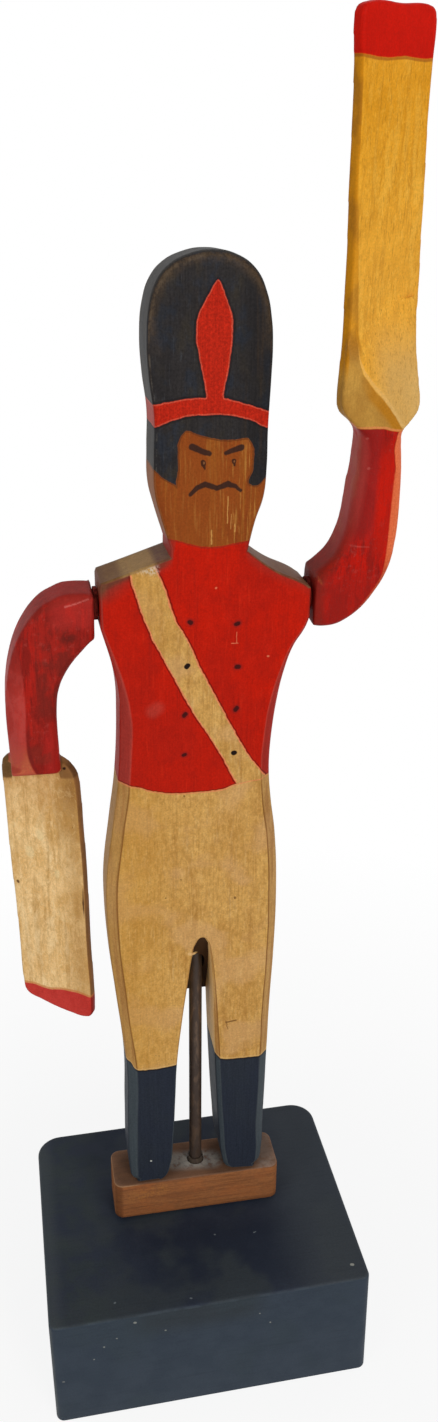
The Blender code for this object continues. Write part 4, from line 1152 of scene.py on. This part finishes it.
def old_metal(name, bare, stained, cover, rough, metallic=0.6, gloss=0.5, dark_ends=False):
    """Handled metal under uneven brown staining, with fine turning marks."""
    f = Finish(name, FIGURE)
    stain = f.noise(2.6, 3, 4, 0.62, 1)
    rub = f.noise(0.35, 22, 2, 0.6, 3)
    low, high = 0.62 - cover * 0.4, 0.78 - cover * 0.3
    covered = stain.rise(low, high)
    paint = f.over(bare,
        (covered, stained),
        (rub.rise(0.55, 0.75) * 0.3, stained))
    if dark_ends:
        # painted shade on the rod up in the crotch hole, and a darker band just above the bar
        paint = f.mix(f.z.rise(132, 160) * 0.85, paint, "241812")
        paint = f.mix(f.z.near(29, 4, 4) * 0.5, paint, "2a211c")
    f.bump(stain * 0.6 + rub * 0.3, 0.25)
    return f.done(paint, rough + covered * 0.25, covered.fall(0, 1) * metallic, gloss)


def box(size, middle):
    """A plain box round a middle point."""
    shape = bmesh.new()
    bmesh.ops.create_cube(shape, size=1.0)
    bmesh.ops.scale(shape, vec=size, verts=shape.verts)
    bmesh.ops.translate(shape, vec=middle, verts=shape.verts)
    return shape


def rounded(shape, edges, width, segments):
    """Rounds some edges of a bmesh."""
    bmesh.ops.bevel(
        shape, geom=edges, offset=width, segments=segments, profile=0.5, affect="EDGES",
        material=-1)


def ends_above(edge, height):
    """How many ends of an edge are above a height: 1 for an upright edge."""
    return sum(v.co.z > height for v in edge.verts)


def make_block():
    """The display block, its front edge rubbed a little wavy."""
    half = BLOCK / 2
    shape = box(BLOCK, (0, 0, half.z))
    for side, radius in ((-1, FRONT_CORNER), (1, BACK_CORNER)):
        upright = [
            e for e in shape.edges if ends_above(e, half.z) == 1
            and side * e.verts[0].co.y > half.y - TINY and abs(e.verts[0].co.x) > half.x - TINY]
        rounded(shape, upright, radius, 10)
    for above, radius in ((0, BLOCK_LOWER_RIM), (2, BLOCK_UPPER_RIM)):
        rim = [e for e in shape.edges if ends_above(e, half.z) == above]
        rounded(shape, rim, radius, 6)
    for index in range(1, RUB_CUTS):
        x = -half.x + FRONT_CORNER + (BLOCK.x - 2 * FRONT_CORNER) * index / RUB_CUTS
        bmesh.ops.bisect_plane(
            shape, geom=shape.verts[:] + shape.edges[:] + shape.faces[:],
            plane_co=(x, 0, 0), plane_no=(1, 0, 0))
    for vert in shape.verts:
        near_top = max(0.0, 1 - (BLOCK.z - vert.co.z) / RUB_REACH)
        near_front = max(0.0, 1 - (vert.co.y + half.y) / RUB_REACH)
        inside = min(1.0, max(0.0, (half.x - FRONT_CORNER - abs(vert.co.x)) / RUB_FADE))
        push = (0.5 + 0.5 * noise.noise(Vector((vert.co.x * RUB_RATE, 3.1, 0.4)))) * RUB_DEPTH
        if near_top * near_front > 0:
            vert.co.z -= push * near_top * near_front * inside
            vert.co.y += push * near_top * near_front * inside
    block = as_object("block", shape)
    combine(block, drill(TUBE_INNER, ROD_LOW - GAP, ROD_HOLE_TOP, FIGURE))
    shade(block)
    finish_piece(block, "stand", ["base_block"], block_paint())


def make_bar():
    """The foot bar with hand-softened corners."""
    height = BAR_TOP - BAR_LOW
    middle = BAR_LOW + height / 2
    shape = box((BAR_WIDTH, BOARD_THICKNESS, height), (BAR_SHIFT, 0, middle))
    rounded(shape, [e for e in shape.edges if ends_above(e, middle) == 1], BAR_CORNER, 8)
    rounded(shape, [e for e in shape.edges if ends_above(e, middle) != 1], BAR_RIM, 4)
    bar = as_object("foot_bar_stained", shape)
    combine(bar, drill(TUBE_HOLE, -0.01, 0.04, Matrix.Identity(4)))
    for share in SCREW_SHARES:
        combine(bar, screw_hole(share))
    bar.data.transform(FIGURE)
    shade(bar)
    finish_piece(bar, "figure", ["foot_bar"], bar_stain())


def crotch_roof():
    """The uncut wood above the legs, which slopes down towards the back."""
    front, back = -BOARD_THICKNESS / 2 + 0.0004, BOARD_THICKNESS / 2 - 0.00005
    low, high = CROTCH + 0.001, CROTCH + 0.004
    shape = bmesh.new()
    ends = [
        [shape.verts.new((x, y, z)) for y, z in (
            (front, low), (back, ROOF_LOW), (back, high), (front, high))]
        for x in (-ROOF_HALF_WIDTH, ROOF_HALF_WIDTH)]
    shape.faces.new(ends[0])
    shape.faces.new(ends[1])
    for index in range(4):
        after = (index + 1) % 4
        shape.faces.new((ends[0][index], ends[0][after], ends[1][after], ends[1][index]))
    bmesh.ops.recalc_face_normals(shape, faces=shape.faces)
    return as_object("crotch_roof", shape)


def splinter():
    """A splinter left at the edge of the slot."""
    shape = bmesh.new()
    bmesh.ops.create_icosphere(shape, subdivisions=3, radius=1.0)
    bmesh.ops.scale(shape, vec=SPLINTER_SIZE, verts=shape.verts)
    lean = Matrix.Rotation(radians(-22), 4, "Y")
    return as_object("splinter", shape, Matrix.Translation(SPLINTER_PLACE) @ lean)


def uneven(point, share, rate, layer):
    """About 1, a little more or less from place to place along an outline."""
    return 1 + share * noise.noise(Vector((point.x * 60, point.y * rate, layer)))


def make_figure():
    """The carved board."""
    outline = smooth_outline(
        [(x * BOARD_WIDTH, SOLE + z * BOARD_HEIGHT, *corner) for x, z, *corner in BOARD_OUTLINE], 7)
    front, back, roundness = [], [], []
    for point in outline:
        height = (point.y - SOLE) / MM
        jitter = uneven(point, 0.12, 45, 0.0)
        if SLOT_SIDES[0] < point.x < SLOT_SIDES[1] and 0.5 < height < SLOT_TOP:
            right_leg = point.x > SLOT_MIDDLE
            wide = between(SLOT_EDGE_BY_HEIGHT, height) if right_leg else SLOT_EDGE
            front.append(wide * MM * jitter)
            back.append(SLOT_EDGE * MM)
            roundness.append(0.2)
        else:
            wide = between(EDGE_BY_HEIGHT, height) * jitter * MM
            front.append(wide)
            back.append(wide)
            roundness.append(between(ROUNDNESS_BY_HEIGHT, height))
    shape = whittled(outline, BOARD_THICKNESS, front, back, roundness, soft=0.11)
    board = as_object("soldier_board", shape)
    combine(board, crotch_roof(), "UNION")
    combine(board, splinter(), "UNION")
    combine(board, drill(TUBE_HOLE, CROTCH - 0.045, CROTCH_HOLE_TOP, Matrix.Identity(4)))
    axle = Matrix.Translation((0.0, 0.0, AXLE_HEIGHT)) @ Matrix.Rotation(pi / 2, 4, "Y")
    combine(board, drill(TUBE_HOLE, -0.06, 0.06, axle))
    for share in SCREW_SHARES:
        combine(board, screw_hole(share))
    board.data.transform(FIGURE)
    weigh = board.modifiers.new("weigh", "WEIGHTED_NORMAL")
    weigh.weight = 90
    weigh.keep_sharp = True
    shade(board, 40)
    finish_piece(board, "figure", ["figure_board"], board_paint())


def pare(arm, reach):
    """Takes off the raised arm's outer facet and the long slope down to its blade."""
    edge = Vector(FACET_RUN).normalized()
    slope = Vector((edge.z, 0.0, -edge.x)) * sin(FACET_LEAN)
    combine(arm, half_space(
        Vector((reach + PARING_OUT, -ARM_STOCK / 2, FACET_TOP)),
        slope + Vector((0.0, -cos(FACET_LEAN), 0.0))))
    level = Vector((-sin(SLOPE_TURN), cos(SLOPE_TURN), 0.0))
    combine(arm, half_space(
        Vector((reach - PARING_OUT, -0.0015, SLOPE_TOP)),
        level * cos(SLOPE_TILT) + Vector((0.0, 0.0, sin(SLOPE_TILT)))))


def make_arm(side, paint):
    """One arm and its blade, whittled from a single piece."""
    pared = side == "right"
    face, reach = ARM_FACE[side], REACH[side]
    outline = smooth_outline(
        [(face + x * MM, z * MM, *corner) for x, z, *corner in ARM_OUTLINES[side]], 7)
    front, back, roundness = [], [], []
    for point in outline:
        along = point.y / WRIST_DROP
        outer = point.x > reach or along < -0.05
        share = between(OUTER_SHARE, along) if outer else 0.5
        fade = between(PARED_FADE, along) if pared else 1.0
        jitter = uneven(point, 0.15, 50, 3.0)
        back.append(ARM_CHAMFER[side] * share * fade * jitter)
        inner = pared and not outer and point.x > face + MM
        front.append(between(INNER_ROUNDING, along) * MM * jitter if inner else back[-1])
        roundness.append(0.9 if inner else 0.25)
    shape = whittled(outline, ARM_STOCK, front, back, roundness, 6)
    arm = as_object("carved_arm_" + side, shape)
    if pared:
        pare(arm, reach)
    outline = smooth_outline([(x * MM, z * MM) for x, z in BLADE_OUTLINES[side]], 6)
    edges = [BLADE_EDGE] * len(outline)
    blade = whittled(outline, BLADE_THICKNESS, edges, edges, [0.8] * len(outline))
    place = Matrix.Translation((reach, 0, 0)) @ Matrix.Rotation(BLADE_PITCH, 4, "Z")
    combine(arm, as_object("blade", blade, place), "UNION")
    melt = arm.modifiers.new("melt", "REMESH")
    melt.mode = "VOXEL"
    melt.voxel_size = 0.0007
    soften = arm.modifiers.new("soften", "SMOOTH")
    soften.factor = 0.5
    soften.iterations = 6
    settle(arm)
    end = Matrix.Rotation(pi / 2, 4, "Y")
    combine(arm, drill(TUBE_INNER, face - 0.004, face + AXLE_GRIP, end))
    arm.data.transform(ARM_FRAMES[side])
    arm.data.shade_smooth()
    finish_piece(arm, "rotor", ["arm_" + side], paint())


def make_metal():
    """The rod, and the finishes of the tube, washers, sleeves, axle and screws."""
    dark = old_metal("dark_steel", "6b5646", "38291f", 0.75, 0.38, dark_ends=True)
    shape = bmesh.new()
    bmesh.ops.create_cone(
        shape, cap_ends=True, segments=48, radius1=ROD_RADIUS, radius2=ROD_RADIUS,
        depth=ROD_TOP - ROD_LOW)
    rounded(shape, [e for e in shape.edges if ends_above(e, 0.0) != 1], ROD_RIM, 4)
    rod = as_object("rod", shape, FIGURE @ Matrix.Translation((0, 0, (ROD_LOW + ROD_TOP) / 2)))
    shade(rod)
    finish_piece(rod, "stand", ["pivot_rod"], dark)
    bright = old_metal("bright_steel", "9c9a94", "6a5a48", 0.2, 0.3, 0.9)
    brass = old_metal("sleeve_brass", "b08a48", "6e5026", 0.45, 0.35, 0.8)
    tube = old_metal("tube_metal", "5f5347", "352820", 0.6, 0.4)
    # The shoulder washers are a dull dark maroon: painted shade of the gap between arm and shoulder
    washers = old_metal("washer_metal", "80291f", "561813", 0.6, 0.7, 0.0, 0.1)
    for metal, names in (
            (bright, ("foot_washer", "boot_screw_left", "boot_screw_right")),
            (tube, ("foot_bushing",)), (brass, ("crotch_sleeve", "axle_sleeve")),
            (dark, ("arm_axle",)), (washers, ("shoulder_washer_left", "shoulder_washer_right"))):
        for name in names:
            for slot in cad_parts[name].material_slots:
                slot.material = metal


def seen_white(t, share):
    """How much of a surface or the world is shown plain white: only to what looks at it."""
    path = t.raw("LightPath")
    camera, glossy, through = (
        Wire(t, path.outputs[f"Is {kind} Ray"]) for kind in ("Camera", "Glossy", "Transmission"))
    return camera.most(glossy).most(through) * share


def make_floor():
    """A pale floor that keeps the shadow near the object and is plain white further out."""
    shape = bmesh.new()
    bmesh.ops.create_grid(shape, x_segments=1, y_segments=1, size=FLOOR_SIZE)
    floor = as_object("floor", shape)
    paper = bpy.data.materials.new("pale_floor")
    paper.use_nodes = True
    t = Tree(paper.node_tree)
    base = t.tree.nodes["Principled BSDF"]
    for name, value in (
            ("Base Color", (0.9, 0.9, 0.9, 1)), ("Roughness", 1.0), ("Specular IOR Level", 0.0)):
        base.inputs[name].default_value = value
    glow = t.node("Emission")
    around = t.node("MixShader", None, (
        seen_white(t, FLOOR_WHITE), Wire(t, base.outputs[0]), glow))
    spot = t.node("TexCoord", output="Object")
    reach = t.node("VectorMath", {"operation": "LENGTH"}, (spot,), "Value")
    away = t.node("MapRange", None, {
        "From Min": SHADOW_REACH[0], "From Max": SHADOW_REACH[1], "Value": reach})
    whole = t.node("MixShader", None, (away * seen_white(t, 1.0), around, glow))
    t.plug(t.tree.nodes["Material Output"].inputs[0], whole)
    floor.data.materials.append(paper)


def make_world():
    """White where it is looked at, dimmer where it lights the object."""
    world = bpy.data.worlds.new("studio")
    bpy.context.scene.world = world
    world.use_nodes = True
    t = Tree(world.node_tree)
    sky = t.tree.nodes["Background"]
    sky.inputs[0].default_value = (0.94, 0.97, 1.0, 1)
    sky.inputs[1].default_value = 0.38
    white = t.node("Background", None, ((1, 1, 1, 1),))
    whole = t.node("MixShader", None, (
        seen_white(t, 1.0), Wire(t, sky.outputs[0]), white))
    t.plug(t.tree.nodes["World Output"].inputs[0], whole)


def soft_light(name, place, size, power, colour):
    """A soft studio panel aimed at the object."""
    lamp = bpy.data.lights.new(name, "AREA")
    lamp.shape = "DISK"
    lamp.size = size
    lamp.energy = power
    lamp.color = colour
    obj = bpy.data.objects.new(name, lamp)
    aim = (Vector(LIGHT_TARGET) - Vector(place)).to_track_quat("-Z", "Y")
    obj.matrix_world = Matrix.Translation(place) @ aim.to_matrix().to_4x4()
    bpy.context.scene.collection.objects.link(obj)


def make_camera():
    """The photograph's view."""
    yaw, pitch, roll = map(radians, CAMERA_TURN)
    forward = Vector((sin(yaw) * cos(pitch), cos(yaw) * cos(pitch), -sin(pitch)))
    right = Vector((cos(yaw), -sin(yaw), 0.0))
    down = forward.cross(right)
    turned_right = cos(roll) * right + sin(roll) * down
    turned_down = -sin(roll) * right + cos(roll) * down
    turn = Matrix((turned_right, -turned_down, -forward)).transposed().to_4x4()
    lens = bpy.data.cameras.new("camera")
    lens.sensor_width = 36.0
    lens.lens = FOCAL_LENGTH
    lens.clip_start = 0.02
    obj = bpy.data.objects.new("camera", lens)
    obj.matrix_world = Matrix.Translation(CAMERA_PLACE) @ turn
    bpy.context.scene.collection.objects.link(obj)
    bpy.context.scene.camera = obj


def main():
    """Makes every piece, then the floor, lights and camera."""
    make_block()
    make_bar()
    make_figure()
    make_arm("left", lower_arm_paint)
    make_arm("right", upper_arm_paint)
    make_metal()
    make_floor()
    make_world()
    for light in LIGHTS:
        soft_light(*light)
    make_camera()
    bpy.context.scene.view_settings.view_transform = "Standard"


main()
